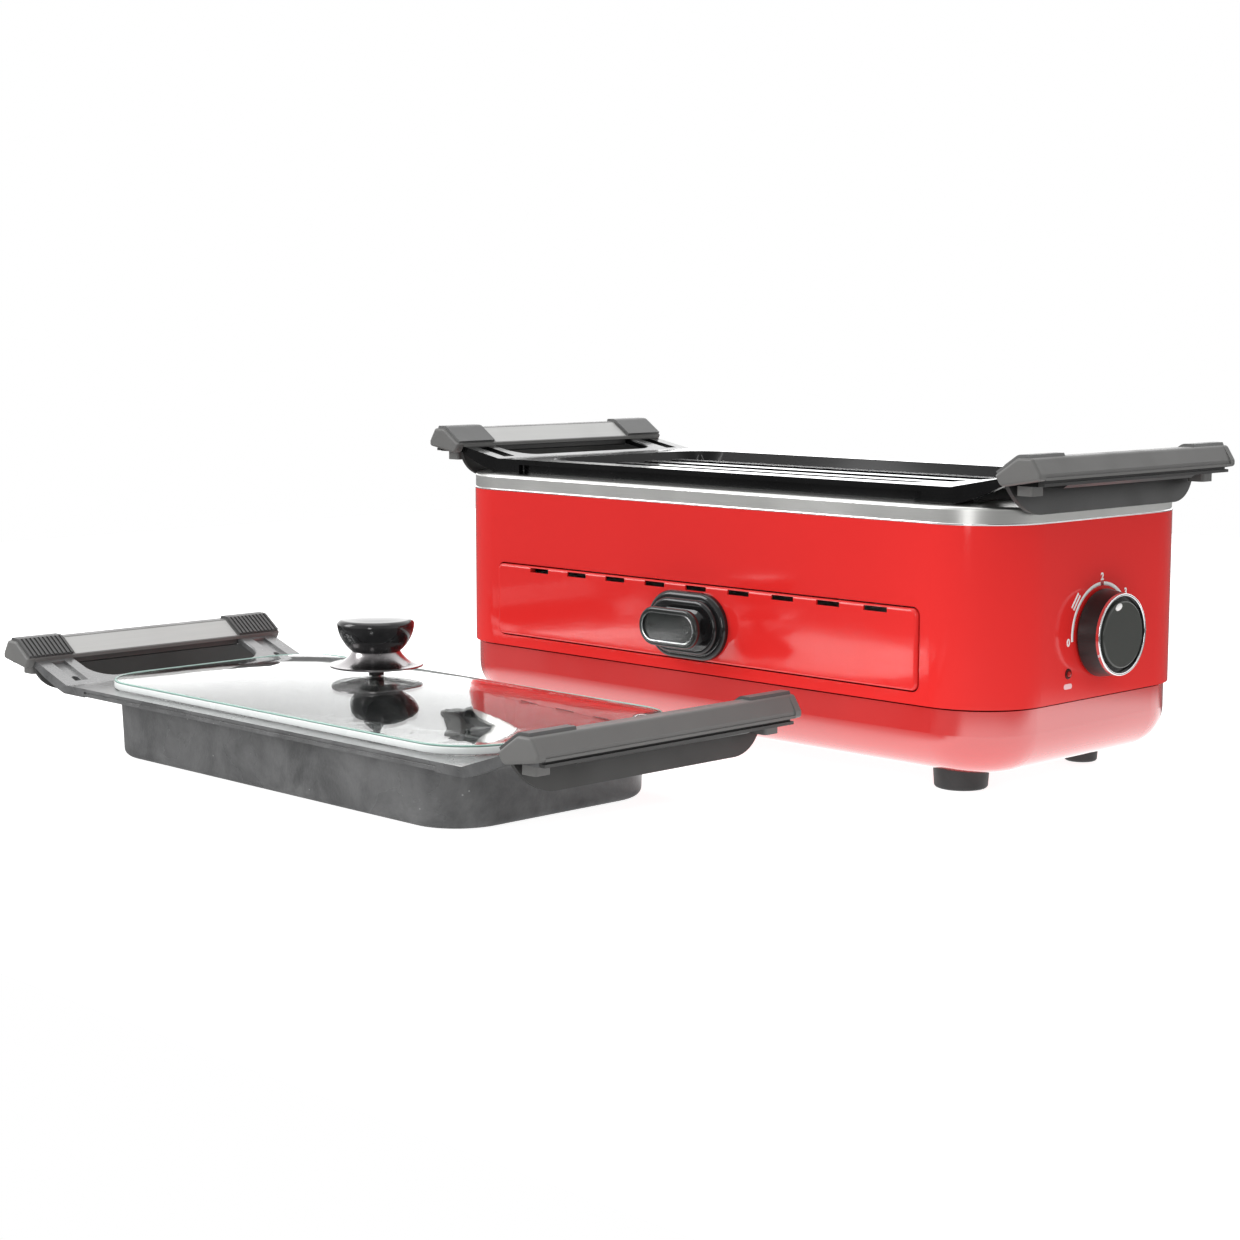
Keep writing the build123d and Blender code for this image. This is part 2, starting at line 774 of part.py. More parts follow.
with BuildPart() as pull_screws:
    with BuildSketch(unit_front(drawer_proud - drawer_panel - tray_sheet)):
        with Locations((0, pull_z)):
            with GridLocations(pull_screw_pitch, 1, 2, 1):
                Circle(pull_screw_diameter)
    extrude(amount=-pull_screw_diameter / 2)
    with BuildSketch(unit_front(drawer_proud - drawer_panel - tray_sheet)):
        with Locations((0, pull_z)):
            with GridLocations(pull_screw_pitch, 1, 2, 1):
                Circle(pull_screw_diameter / 2)
    extrude(amount=tray_sheet + drawer_panel + pull_base_depth + pull_step_depth - slide_gap)
keep(pull_screws, "pull_screws")

# Thermostat control behind the dial, its bushing through the shell and a nut outside
dial_spot = (unit_x + housing_length / 2, unit_y - dial_forward, dial_height)
dial_axis = Axis(dial_spot, (1, 0, 0))
dial_section = Plane(origin=dial_spot, x_dir=(1, 0, 0), z_dir=(0, -1, 0))
with BuildPart() as thermostat:
    with BuildSketch(unit_right(-sheet, dial_forward, dial_height)):
        RectangleRounded(control_width, control_height, control_corner)
    extrude(amount=-control_depth)
    with BuildSketch(unit_right(-sheet, dial_forward, dial_height)):
        Circle(bushing_diameter / 2)
    extrude(amount=sheet + bushing_reach)
    with BuildSketch(unit_right(bushing_reach, dial_forward, dial_height)):
        Circle(shaft_diameter / 2 + shaft_gap)
    extrude(amount=-bushing_reach - sheet - shaft_in_control, mode=Mode.SUBTRACT)
keep(thermostat, "thermostat")

with BuildPart() as thermostat_nut:
    with BuildSketch(unit_right(0, dial_forward, dial_height)):
        RegularPolygon(nut_across_flats / 2, 6, major_radius=False)
        Circle(bushing_diameter / 2 + screw_gap, mode=Mode.SUBTRACT)
    extrude(amount=nut_height)
keep(thermostat_nut, "thermostat_nut")

# Dial: tapered knob, bright ring, sunk cap and its shaft
knob_front = dial_back_gap + dial_depth
knob_floor = knob_front - dial_recess
ring_inner = dial_front_diameter / 2 - dial_ring_width
with BuildPart() as dial_knob:
    with BuildSketch(dial_section):
        with BuildLine():
            Polyline(
                (dial_back_gap + dial_cavity_depth, 0),
                (dial_back_gap + dial_cavity_depth, dial_cavity_diameter / 2),
                (dial_back_gap, dial_cavity_diameter / 2),
                (dial_back_gap, dial_base_diameter / 2),
                (knob_front, dial_front_diameter / 2),
                (knob_front, ring_inner),
                (knob_floor, ring_inner),
                (knob_floor, 0),
                close=True,
            )
        make_face()
    revolve(axis=dial_axis)
    with BuildSketch(unit_right(dial_back_gap, dial_forward, dial_height)):
        Circle(shaft_diameter / 2)
    extrude(amount=dial_cavity_depth + shaft_in_knob, mode=Mode.SUBTRACT)
    fillet(dial_knob.edges().filter_by(GeomType.CIRCLE).group_by(SortBy.RADIUS)[-1], dial_edge_round)
keep(dial_knob, "dial_knob")

with BuildPart() as dial_ring:
    with BuildSketch(unit_right(knob_front, dial_forward, dial_height)):
        Circle(dial_front_diameter / 2)
        Circle(ring_inner, mode=Mode.SUBTRACT)
    extrude(amount=dial_ring_depth)
    fillet(dial_ring.faces().sort_by(Axis.X)[-1].edges(), dial_ring_round)
keep(dial_ring, "dial_ring")

with BuildPart() as dial_cap:
    with BuildSketch(unit_right(knob_floor, dial_forward, dial_height)):
        Circle(ring_inner - dial_groove)
    extrude(amount=dial_cap_depth)
    fillet(dial_cap.faces().sort_by(Axis.X)[-1].edges(), dial_edge_round)
keep(dial_cap, "dial_cap")

with BuildPart() as dial_shaft:
    with BuildSketch(
        unit_right(dial_back_gap + dial_cavity_depth + shaft_in_knob, dial_forward, dial_height)
    ):
        Circle(shaft_diameter / 2)
    extrude(
        amount=slide_gap
        - dial_back_gap
        - dial_cavity_depth
        - shaft_in_knob
        - sheet
        - shaft_in_control
    )
keep(dial_shaft, "dial_shaft")

# Indicator lamp: a small domed lens with its head behind the wall
with BuildPart() as indicator_lamp:
    with BuildSketch(unit_right(-sheet, lamp_forward, lamp_height)):
        Circle(lamp_diameter / 2 + lamp_flange)
    extrude(amount=-lamp_head_depth)
    with BuildSketch(unit_right(-sheet, lamp_forward, lamp_height)):
        Circle(lamp_diameter / 2 - screw_gap)
    extrude(amount=sheet + lamp_proud)
    fillet(indicator_lamp.faces().sort_by(Axis.X)[-1].edges(), lamp_round)
keep(indicator_lamp, "indicator_lamp")

# Power inlet: a rimmed socket in the back wall with two round pins
inlet_x = housing_length / 2 - inlet_from_right
inlet_mouth = inlet_depth - inlet_back
with BuildPart() as power_inlet:
    with BuildSketch(unit_rear(0, inlet_x, inlet_height)):
        RectangleRounded(inlet_width + 2 * inlet_rim, inlet_tall + 2 * inlet_rim, inlet_corner)
    extrude(amount=inlet_proud)
    with BuildSketch(unit_rear(0, inlet_x, inlet_height)):
        Rectangle(inlet_width - 2 * screw_gap, inlet_tall - 2 * screw_gap)
    extrude(amount=-(inlet_depth - inlet_proud))
    with BuildSketch(unit_rear(inlet_proud, inlet_x, inlet_height)):
        RectangleRounded(inlet_width - 2 * inlet_wall, inlet_tall - 2 * inlet_wall, inlet_corner)
    extrude(amount=-inlet_mouth, mode=Mode.SUBTRACT)
    with BuildSketch(unit_rear(inlet_proud - inlet_mouth, inlet_x, inlet_height)):
        with GridLocations(inlet_pin_pitch, 1, 2, 1):
            Circle(inlet_pin_diameter / 2)
    extrude(amount=-inlet_back, mode=Mode.SUBTRACT)
keep(power_inlet, "power_inlet")

with BuildPart() as inlet_pins:
    with BuildSketch(unit_rear(inlet_proud - inlet_depth - inlet_pin_tail, inlet_x, inlet_height)):
        with GridLocations(inlet_pin_pitch, 1, 2, 1):
            Circle(inlet_pin_diameter / 2)
    extrude(amount=inlet_pin_tail + inlet_back + inlet_pin_length)
keep(inlet_pins, "inlet_pins")

# Terminal block, screwed flat to the shell's bottom flange, just under the thermostat
block_x = housing_length / 2 - sheet - block_depth
block_y = foot_y - block_length
block_floor = shell_z + sheet
block_height = dial_height - control_height / 2 - block_gap - block_floor
with BuildPart() as terminal_block:
    with BuildSketch(unit_level(block_floor)):
        with Locations((block_x, block_y)):
            Rectangle(block_depth, block_length)
    extrude(amount=block_height)
    with BuildSketch(unit_level(block_floor + block_height)):
        with Locations((block_x, block_y)):
            with GridLocations(1, block_length / block_holes, 1, block_holes):
                Circle(block_hole_diameter / 2)
    extrude(amount=-block_height / 2, mode=Mode.SUBTRACT)
keep(terminal_block, "terminal_block")


def wing_pair(centre, rim_top, grip_top, web_depth):
    # The two cast wings of a plate or pan: a bent sheet with a finger window that has
    # softened edges, side webs, a groove on each arm, and two tabs under each grip
    tab_top = grip_top - grip_split
    root = flange_length / 2
    tab_start = root + wing_run
    tab_end = grip_reach - grip_outer_run
    edge = flange_depth / 2
    slope = (tab_top - rim_top) / wing_run
    with BuildPart() as wings:
        for side in (-1, 1):
            view = end_profile(centre, side)
            with BuildSketch(view):
                with BuildLine():
                    Polyline(
                        (root - wing_overlap, rim_top),
                        (root, rim_top),
                        (tab_start, tab_top),
                        (tab_end, tab_top),
                        (tab_end, tab_top - wing_thickness),
                        (tab_start + bend_shift, tab_top - wing_thickness),
                        (root + bend_shift, rim_top - wing_thickness),
                        (root - wing_overlap, rim_top - wing_thickness),
                        close=True,
                    )
                make_face()
            extrude(amount=edge, both=True)
            for web_side in (-1, 1):
                with BuildSketch(view.offset(web_side * (edge - web_thickness / 2))):
                    with BuildLine():
                        Polyline(
                            (root - web_inboard, rim_top - wing_thickness / 2),
                            (root - web_inboard, rim_top - web_depth),
                            (root + web_foot, rim_top - web_depth),
                        )
                        ThreePointArc(
                            (root + web_foot, rim_top - web_depth),
                            (
                                root + wing_run * web_belly_run,
                                rim_top - web_depth + (tab_top - rim_top + web_depth) * web_belly_drop,
                            ),
                            (tab_start + web_run, tab_top - wing_thickness - web_tip),
                        )
                        Polyline(
                            (tab_start + web_run, tab_top - wing_thickness - web_tip),
                            (tab_start + web_run, tab_top - wing_thickness / 2),
                            (tab_start, tab_top - wing_thickness / 2),
                            (root, rim_top - wing_thickness / 2),
                            (root - web_inboard, rim_top - wing_thickness / 2),
                        )
                    make_face()
                extrude(amount=web_thickness / 2, both=True)
            plan = end_plan(centre, side, rim_top)
            with BuildSketch(plan) as window:
                with BuildLine():
                    Polyline(
                        (root + window_margin, -window_half_in),
                        (tab_end + bend_shift, -window_half_out),
                        (tab_end + bend_shift, window_half_out),
                        (root + window_margin, window_half_in),
                        close=True,
                    )
                make_face()
                fillet(window.vertices().group_by(Axis.X)[0], window_round)
            extrude(amount=grip_top, both=True, mode=Mode.SUBTRACT)
            fillet(
                wings.edges().filter_by(
                    lambda e: root + window_margin / 2 < side * (e.center().X - centre[0]) < tab_start
                    and abs(e.center().Y - centre[1]) < window_half_out
                    and e.center().Z
                    > rim_top + slope * (side * (e.center().X - centre[0]) - root) - wing_thickness / 2
                ),
                window_edge_round,
            )
            for groove_side in (-1, 1):
                groove_shift = groove_side * (edge - groove_from_edge)
                groove_in = root + oval_length / 2
                groove_out = tab_start - groove_end
                with BuildSketch(view.offset(groove_shift)):
                    with BuildLine():
                        Polyline(
                            (groove_in, rim_top + slope * (groove_in - root) - groove_depth),
                            (groove_in, grip_top),
                            (groove_out, grip_top),
                            (groove_out, rim_top + slope * (groove_out - root) - groove_depth),
                            close=True,
                        )
                    make_face()
                extrude(amount=groove_width / 2, both=True, mode=Mode.SUBTRACT)
                with BuildSketch(plan):
                    with Locations((groove_in + oval_length / 2 + bend_shift, groove_shift)):
                        SlotOverall(oval_length, oval_width)
                extrude(amount=grip_top, both=True, mode=Mode.SUBTRACT)
            with BuildSketch(end_plan(centre, side, tab_top)):
                with Locations(
                    (grip_reach - grip_foot_from_outside, edge - grip_foot_from_edge),
                    (grip_reach - grip_foot_from_outside, grip_foot_from_edge - edge),
                ):
                    Circle(grip_screw_diameter / 2 + screw_gap)
            extrude(amount=-wing_thickness, mode=Mode.SUBTRACT)
    return wings.part


def make_grips(owner, centre, grip_top, ribbed):
    # Both grips of a plate or pan: shell, bright insert, a pair of end caps and a lower guard,
    # then the feet under the tabs and the screws that hold it all together
    outer = grip_reach
    inner = grip_reach - grip_width
    wall = outer - grip_rim_proud
    crown_in = inner + grip_slope_run
    crown_out = outer - grip_outer_run
    split = grip_top - grip_split
    slope_low = split + grip_inner_lip
    slope_rise = grip_top - slope_low
    slope_long = math.hypot(grip_slope_run, slope_rise)
    away = (-slope_rise / slope_long, grip_slope_run / slope_long)
    half = grip_length / 2
    edge = flange_depth / 2
    screw_u = grip_reach - grip_foot_from_outside
    screw_y = edge - grip_foot_from_edge
    tab_under = split - wing_thickness
    for side_name, side in (("left", -1), ("right", 1)):
        view = end_profile(centre, side)
        slope_middle = (
            centre[0] + side * (inner + grip_slope_run / 2),
            centre[1],
            slope_low + slope_rise / 2,
        )
        slope_plane = Plane(origin=slope_middle, x_dir=(0, 1, 0), z_dir=(side * away[0], 0, away[1]))
        insert_length = grip_length - 2 * grip_cap_length
        insert_width = slope_long - 2 * insert_margin

        with BuildPart() as grip_shell:
            for cheek_side in (-1, 1):
                with BuildSketch(view.offset(cheek_side * (half - grip_cheek / 2))) as cheek:
                    with BuildLine():
                        Polyline(
                            (inner, slope_low),
                            (crown_in, grip_top),
                            (crown_out, grip_top),
                            (outer, grip_top - grip_outer_edge),
                            (outer, split),
                            (inner + grip_nose_in, grip_top - grip_cheek_drop),
                            close=True,
                        )
                    make_face()
                    fillet(cheek.vertices().sort_by_distance((crown_in, grip_top))[0], grip_crown_round)
                    fillet(cheek.vertices().sort_by_distance((crown_out, grip_top))[0], grip_shoulder_round)
                    fillet(cheek.vertices().group_by(Axis.Y)[0], grip_nose_round)
                    fillet(cheek.vertices().group_by(Axis.X)[-1], grip_corner_round)
                    fillet(cheek.vertices().sort_by(Axis.X)[0], grip_lip_round)
                extrude(amount=grip_cheek / 2, both=True)
            fillet(
                grip_shell.edges().filter_by(lambda e: abs(e.center().Y - centre[1]) > half - 0.01),
                grip_end_round,
            )
            with BuildSketch(view) as bar:
                with BuildLine():
                    Polyline(
                        (inner, split),
                        (inner, slope_low),
                        (crown_in, grip_top),
                        (crown_out, grip_top),
                        (wall, grip_top - grip_outer_edge),
                        (wall, split + grip_rim_height),
                        (outer, split + grip_rim_height),
                        (outer, split),
                        close=True,
                    )
                make_face()
                fillet(bar.vertices().sort_by_distance((crown_in, grip_top))[0], grip_crown_round)
                fillet(bar.vertices().sort_by_distance((crown_out, grip_top))[0], grip_shoulder_round)
            extrude(amount=half - grip_cheek, both=True)
            with BuildSketch(slope_plane):
                Rectangle(insert_length, insert_width)
            extrude(amount=-insert_depth, mode=Mode.SUBTRACT)
            with BuildSketch(end_plan(centre, side, split)):
                with Locations((screw_u, screw_y), (screw_u, -screw_y)):
                    Circle(grip_screw_diameter / 2 + screw_gap)
            extrude(amount=grip_screw_reach, mode=Mode.SUBTRACT)
        keep(grip_shell, f"{owner}_{side_name}_grip_shell")

        with BuildPart() as grip_insert:
            with BuildSketch(slope_plane.offset(-insert_depth)):
                Rectangle(insert_length - 2 * screw_gap, insert_width - 2 * screw_gap)
            extrude(amount=insert_depth)
        keep(grip_insert, f"{owner}_{side_name}_grip_insert")

        cap_start_z = slope_low + grip_cap_from_lip * slope_rise / grip_slope_run
        cap_end = crown_out - grip_cap_from_shoulder
        cap_mitre = grip_cap_thickness * math.tan(math.atan2(slope_rise, grip_slope_run) / 2)
        with BuildPart() as grip_caps:
            for cap_side in (-1, 1):
                with BuildSketch(view.offset(cap_side * (half - grip_cap_length / 2))) as cap:
                    with BuildLine():
                        Polyline(
                            (inner + grip_cap_from_lip, cap_start_z),
                            (crown_in, grip_top),
                            (cap_end, grip_top),
                            (cap_end - grip_cap_thickness / 2, grip_top + grip_cap_thickness),
                            (crown_in - cap_mitre, grip_top + grip_cap_thickness),
                            (
                                inner + grip_cap_from_lip + away[0] * grip_cap_thickness,
                                cap_start_z + away[1] * grip_cap_thickness,
                            ),
                            close=True,
                        )
                    make_face()
                    fillet(
                        cap.vertices().sort_by_distance(
                            (crown_in - cap_mitre, grip_top + grip_cap_thickness)
                        )[0],
                        grip_crown_round + grip_cap_thickness,
                    )
                    fillet(cap.vertices().sort_by_distance((crown_in, grip_top))[0], grip_crown_round)
                extrude(amount=grip_cap_length / 2 - grip_end_round, both=True)
                if ribbed:
                    with BuildSketch(slope_plane.offset(grip_cap_thickness)):
                        with Locations((cap_side * (half - grip_cap_length / 2), 0)):
                            with GridLocations(rib_pitch, 1, rib_count, 1):
                                Rectangle(rib_gap, slope_long)
                    extrude(amount=-rib_depth, mode=Mode.SUBTRACT)
        keep(grip_caps, f"{owner}_{side_name}_grip_caps")

        rail_back = crown_out + slide_gap
        rail_front = rail_back + guard_neck
        rail_out = outer - guard_rail_in
        rail_top = split - guard_rail_gap
        rail_bottom = rail_top - guard_rail_height
        block_in = inner + guard_inboard
        panel_top = tab_under - slide_gap
        panel_bottom = grip_top - guard_panel_drop
        with BuildPart() as grip_guard:
            with BuildSketch(view):
                with BuildLine():
                    Polyline(
                        (rail_back, split - slide_gap),
                        (rail_front, split - slide_gap),
                        (rail_front, rail_top),
                        (rail_out, rail_top),
                        (rail_out, rail_bottom),
                        (rail_back, rail_bottom),
                        close=True,
                    )
                make_face()
            extrude(amount=half - grip_cheek - slide_gap, both=True)
            with BuildSketch(view):
                with BuildLine():
                    Polyline(
                        (block_in, split - slide_gap),
                        (rail_back, split - slide_gap),
                        (rail_back, rail_bottom),
                        (rail_back - guard_bevel, split - guard_depth),
                        (block_in + guard_bevel, split - guard_depth),
                        (block_in, rail_bottom),
                        close=True,
                    )
                make_face()
            extrude(amount=window_half_in - slide_gap, both=True)
            with BuildSketch(view.offset(-half)):
                with BuildLine():
                    Polyline(
                        (block_in, panel_top),
                        (block_in + guard_panel_thickness, panel_top),
                        (block_in + guard_panel_thickness + guard_panel_lean, panel_bottom),
                        (block_in + guard_panel_lean, panel_bottom),
                        close=True,
                    )
                make_face()
            extrude(amount=grip_length)
            boat = Plane(origin=(centre[0], centre[1], 0), x_dir=(0, 1, 0), z_dir=(1, 0, 0))
            boat_top = half - guard_panel_top_trim
            boat_foot = half - guard_panel_bottom_trim
            boat_belly = half - guard_panel_bottom_trim * guard_panel_belly
            with BuildSketch(boat):
                for boat_side in (-1, 1):
                    with BuildLine():
                        Polyline(
                            (boat_side * (half + grip_cheek), panel_top),
                            (boat_side * boat_top, panel_top),
                        )
                        ThreePointArc(
                            (boat_side * boat_top, panel_top),
                            (boat_side * boat_belly, panel_bottom + guard_panel_belly_rise),
                            (boat_side * boat_foot, panel_bottom),
                        )
                        Polyline(
                            (boat_side * boat_foot, panel_bottom),
                            (boat_side * boat_foot, panel_bottom - guard_panel_thickness),
                            (boat_side * (half + grip_cheek), panel_bottom - guard_panel_thickness),
                            (boat_side * (half + grip_cheek), panel_top),
                        )
                    make_face()
            extrude(amount=side * 2 * grip_reach, mode=Mode.SUBTRACT)
        keep(grip_guard, f"{owner}_{side_name}_grip_guard")

    spots = [(side * screw_u, across * screw_y) for side in (-1, 1) for across in (-1, 1)]
    foot_bottom = tab_under - grip_foot_drop
    head_z = foot_bottom + grip_screw_head_height
    with BuildPart() as grip_feet:
        with BuildSketch(Plane(origin=(centre[0], centre[1], foot_bottom))):
            with Locations(*spots):
                RectangleRounded(grip_foot_size, grip_foot_size, grip_foot_corner)
                Circle(grip_screw_diameter / 2 + screw_gap, mode=Mode.SUBTRACT)
        extrude(amount=grip_foot_drop)
        with BuildSketch(Plane(origin=(centre[0], centre[1], foot_bottom))):
            with Locations(*spots):
                Circle(grip_screw_head / 2 + hole_gap)
        extrude(amount=grip_screw_head_height, mode=Mode.SUBTRACT)
    keep(grip_feet, f"{owner}_grip_feet")

    with BuildPart() as grip_screws:
        with BuildSketch(Plane(origin=(centre[0], centre[1], head_z))):
            with Locations(*spots):
                Circle(grip_screw_head / 2)
        extrude(amount=-grip_screw_head_height)
        with BuildSketch(Plane(origin=(centre[0], centre[1], head_z))):
            with Locations(*spots):
                Circle(grip_screw_diameter / 2)
        extrude(amount=split + grip_screw_reach - slide_gap - head_z)
    keep(grip_screws, f"{owner}_grip_screws")


# Grill plate: a stepped rim, a sunk field with raised bars and drain slots, and the wings
plate_centre = (unit_x, unit_y)
plate_top = band_top + plate_lip
field_floor = plate_top - plate_field_depth
plate_wings = wing_pair(plate_centre, plate_top, plate_top + plate_grip_rise, plate_web)
plate_tub_length = opening_length - 2 * plate_fit
plate_tub_depth = opening_depth - 2 * plate_fit
plate_tub_corner = opening_corner - plate_fit
field_length = flange_length - 2 * plate_field_margin_end
field_depth = flange_depth - 2 * plate_field_margin_side
with BuildPart() as grill_plate:
    with BuildSketch(unit_level(plate_top - plate_lip_top)):
        Rectangle(flange_length, flange_depth)
    extrude(amount=plate_lip_top)
    with BuildSketch(unit_level(band_top)):
        RectangleRounded(
            flange_length - 2 * web_thickness,
            flange_depth - 2 * web_thickness,
            plate_tier_corner,
        )
    extrude(amount=plate_lip - plate_lip_top)
    with BuildSketch(unit_level(field_floor - plate_floor)):
        RectangleRounded(plate_tub_length, plate_tub_depth, plate_tub_corner)
    extrude(amount=plate_floor)
    with BuildSketch(unit_level(band_top - plate_skirt_drop)):
        RectangleRounded(plate_tub_length, plate_tub_depth, plate_tub_corner)
        RectangleRounded(
            plate_tub_length - 2 * plate_skirt_wall,
            plate_tub_depth - 2 * plate_skirt_wall,
            plate_tub_corner - plate_skirt_wall,
            mode=Mode.SUBTRACT,
        )
    extrude(amount=plate_skirt_drop)
    add(plate_wings)
    with BuildSketch(unit_level(plate_top)):
        RectangleRounded(field_length, field_depth, plate_field_corner)
    extrude(amount=-plate_field_depth, taper=plate_field_draft, mode=Mode.SUBTRACT)
    with BuildSketch(unit_level(field_floor)):
        with GridLocations(1, drain_row_pitch, 1, drain_rows - 1):
            Rectangle(rib_bar_length, rib_bar_width)
    extrude(amount=rib_bar_height)
    for row in range(drain_rows):
        row_y = (row - (drain_rows - 1) / 2) * drain_row_pitch
        row_shift = drain_pitch / 4 if row % 2 else -drain_pitch / 4
        with BuildSketch(unit_level(field_floor)):
            with Locations((row_shift, row_y)):
                with GridLocations(drain_pitch, 1, drain_columns, 1):
                    Rectangle(drain_length, drain_width)
        extrude(amount=-plate_floor, mode=Mode.SUBTRACT)
    with BuildSketch(unit_level(field_floor)):
        with GridLocations(
            field_length - 2 * plate_field_depth - 2 * nub_inset,
            field_depth - 2 * plate_field_depth - 2 * nub_inset,
            2,
            2,
        ):
            Circle(nub_diameter / 2)
    extrude(amount=nub_height, taper=nub_draft)
keep(grill_plate, "grill_plate")
make_grips("plate", plate_centre, plate_top + plate_grip_rise, False)

# Deep pan: a cast body with drafted walls, a grooved lip and the same wings
pan_centre = (pan_x, pan_y)
pan_length = opening_length - 2 * pan_clearance
pan_depth = opening_depth - 2 * pan_clearance
pan_wings = wing_pair(pan_centre, pan_height, pan_height + pan_grip_rise, pan_web)
with BuildPart() as pan_body:
    with BuildSketch(Plane(origin=(pan_x, pan_y, 0))):
        RectangleRounded(pan_length, pan_depth, pan_corner)
    extrude(amount=pan_height - pan_lip / 2, taper=-pan_draft)
    fillet(pan_body.faces().sort_by(Axis.Z)[0].edges(), pan_bottom_round)
    with BuildSketch(Plane(origin=(pan_x, pan_y, pan_height - pan_lip))):
        Rectangle(flange_length, flange_depth)
    extrude(amount=pan_lip)
    with BuildSketch(Plane(origin=(pan_x, pan_y, pan_height - pan_lip / 2 - pan_lip_groove / 2))):
        with GridLocations(1, flange_depth, 1, 2):
            Rectangle(flange_length, 2 * pan_lip_groove)
    extrude(amount=pan_lip_groove, mode=Mode.SUBTRACT)
    add(pan_wings)
    with BuildSketch(Plane(origin=(pan_x, pan_y, pan_floor))):
        RectangleRounded(pan_length - 2 * pan_wall, pan_depth - 2 * pan_wall, pan_corner - pan_wall)
    extrude(amount=pan_height - pan_floor, taper=-pan_draft, mode=Mode.SUBTRACT)
    fillet(
        pan_body.edges().filter_by(lambda e: abs(e.center().Z - pan_floor) < 0.01),
        pan_inner_round,
    )
keep(pan_body, "pan")
make_grips("pan", pan_centre, pan_height + pan_grip_rise, True)

# Glass lid: a shallow dome whose edge lies flat on the pan's rim, pushed back a little
lid_length = flange_length - 2 * lid_inset_end
lid_depth = flange_depth - 2 * lid_inset_side
lid_y = pan_y + lid_back
lid_z = pan_height + slide_gap


def dome_surface(z):
    # A smooth cushion that reaches past the glass, flat round its edge and lid_rise in the middle
    dip = 1 - dome_reach**2
    along = ((-1, dip), (0, 1 + dome_reach**2), (1, dip))
    grid = [
        [
            (
                pan_x + x * dome_reach * lid_length / 2,
                lid_y + y * dome_reach * lid_depth / 2,
                z + lid_rise * x_height * y_height,
            )
            for y, y_height in along
        ]
        for x, x_height in along
    ]
    return Face.make_bezier_surface(grid)


with BuildPart() as lid_glass_pane:
    with BuildSketch(Plane(origin=(pan_x, lid_y, lid_z - dome_cut))):
        RectangleRounded(lid_length, lid_depth, lid_corner)
    extrude(amount=2 * lid_glass + lid_rise + dome_cut)
    split(bisect_by=dome_surface(lid_z + lid_glass), keep=Keep.BOTTOM)
    split(bisect_by=dome_surface(lid_z), keep=Keep.TOP)
    with BuildSketch(Plane(origin=(pan_x, lid_y, lid_z))):
        Circle(lid_hole_diameter / 2)
    extrude(amount=2 * lid_glass + lid_rise, mode=Mode.SUBTRACT)
keep(lid_glass_pane, "lid_glass")

# Lid knob: screw and washer under the glass, spacer, flared bright skirt and the knob
glass_under = lid_z + lid_rise
glass_over = glass_under + lid_glass
skirt_z = glass_over + lid_spacer_height
knob_z = skirt_z + skirt_ring_height
lid_axis = Axis((pan_x, lid_y, 0), (0, 0, 1))
lid_section = Plane(origin=(pan_x, lid_y, 0), x_dir=(1, 0, 0), z_dir=(0, -1, 0))
with BuildPart() as lid_washer:
    with BuildSketch(Plane(origin=(pan_x, lid_y, glass_under - lid_washer_height))):
        Circle(lid_washer_diameter / 2)
        Circle(lid_screw_diameter / 2 + screw_gap, mode=Mode.SUBTRACT)
    extrude(amount=lid_washer_height - 2 * screw_gap)
keep(lid_washer, "lid_washer")

with BuildPart() as lid_spacer:
    with BuildSketch(Plane(origin=(pan_x, lid_y, glass_over))):
        Circle(lid_spacer_diameter / 2)
        Circle(lid_screw_diameter / 2 + screw_gap, mode=Mode.SUBTRACT)
    extrude(amount=lid_spacer_height)
keep(lid_spacer, "lid_spacer")

with BuildPart() as knob_skirt:
    with BuildSketch(lid_section):
        with BuildLine():
            Polyline(
                (lid_screw_diameter / 2 + screw_gap, skirt_z + skirt_ring_height),
                (lid_screw_diameter / 2 + screw_gap, skirt_z),
                (lid_spacer_diameter, skirt_z),
                (knob_neck_radius - skirt_lip_in, skirt_z + skirt_lip_rise),
                (skirt_ring_radius, skirt_z),
                (skirt_ring_radius, skirt_z + skirt_ring_sheet),
            )
            ThreePointArc(
                (skirt_ring_radius, skirt_z + skirt_ring_sheet),
                (knob_neck_radius + skirt_sweep_out, skirt_z + skirt_sweep_up),
                (knob_neck_radius, skirt_z + skirt_ring_height),
            )
            Line(
                (knob_neck_radius, skirt_z + skirt_ring_height),
                (lid_screw_diameter / 2 + screw_gap, skirt_z + skirt_ring_height),
            )
        make_face()
    revolve(axis=lid_axis)
keep(knob_skirt, "lid_knob_skirt")

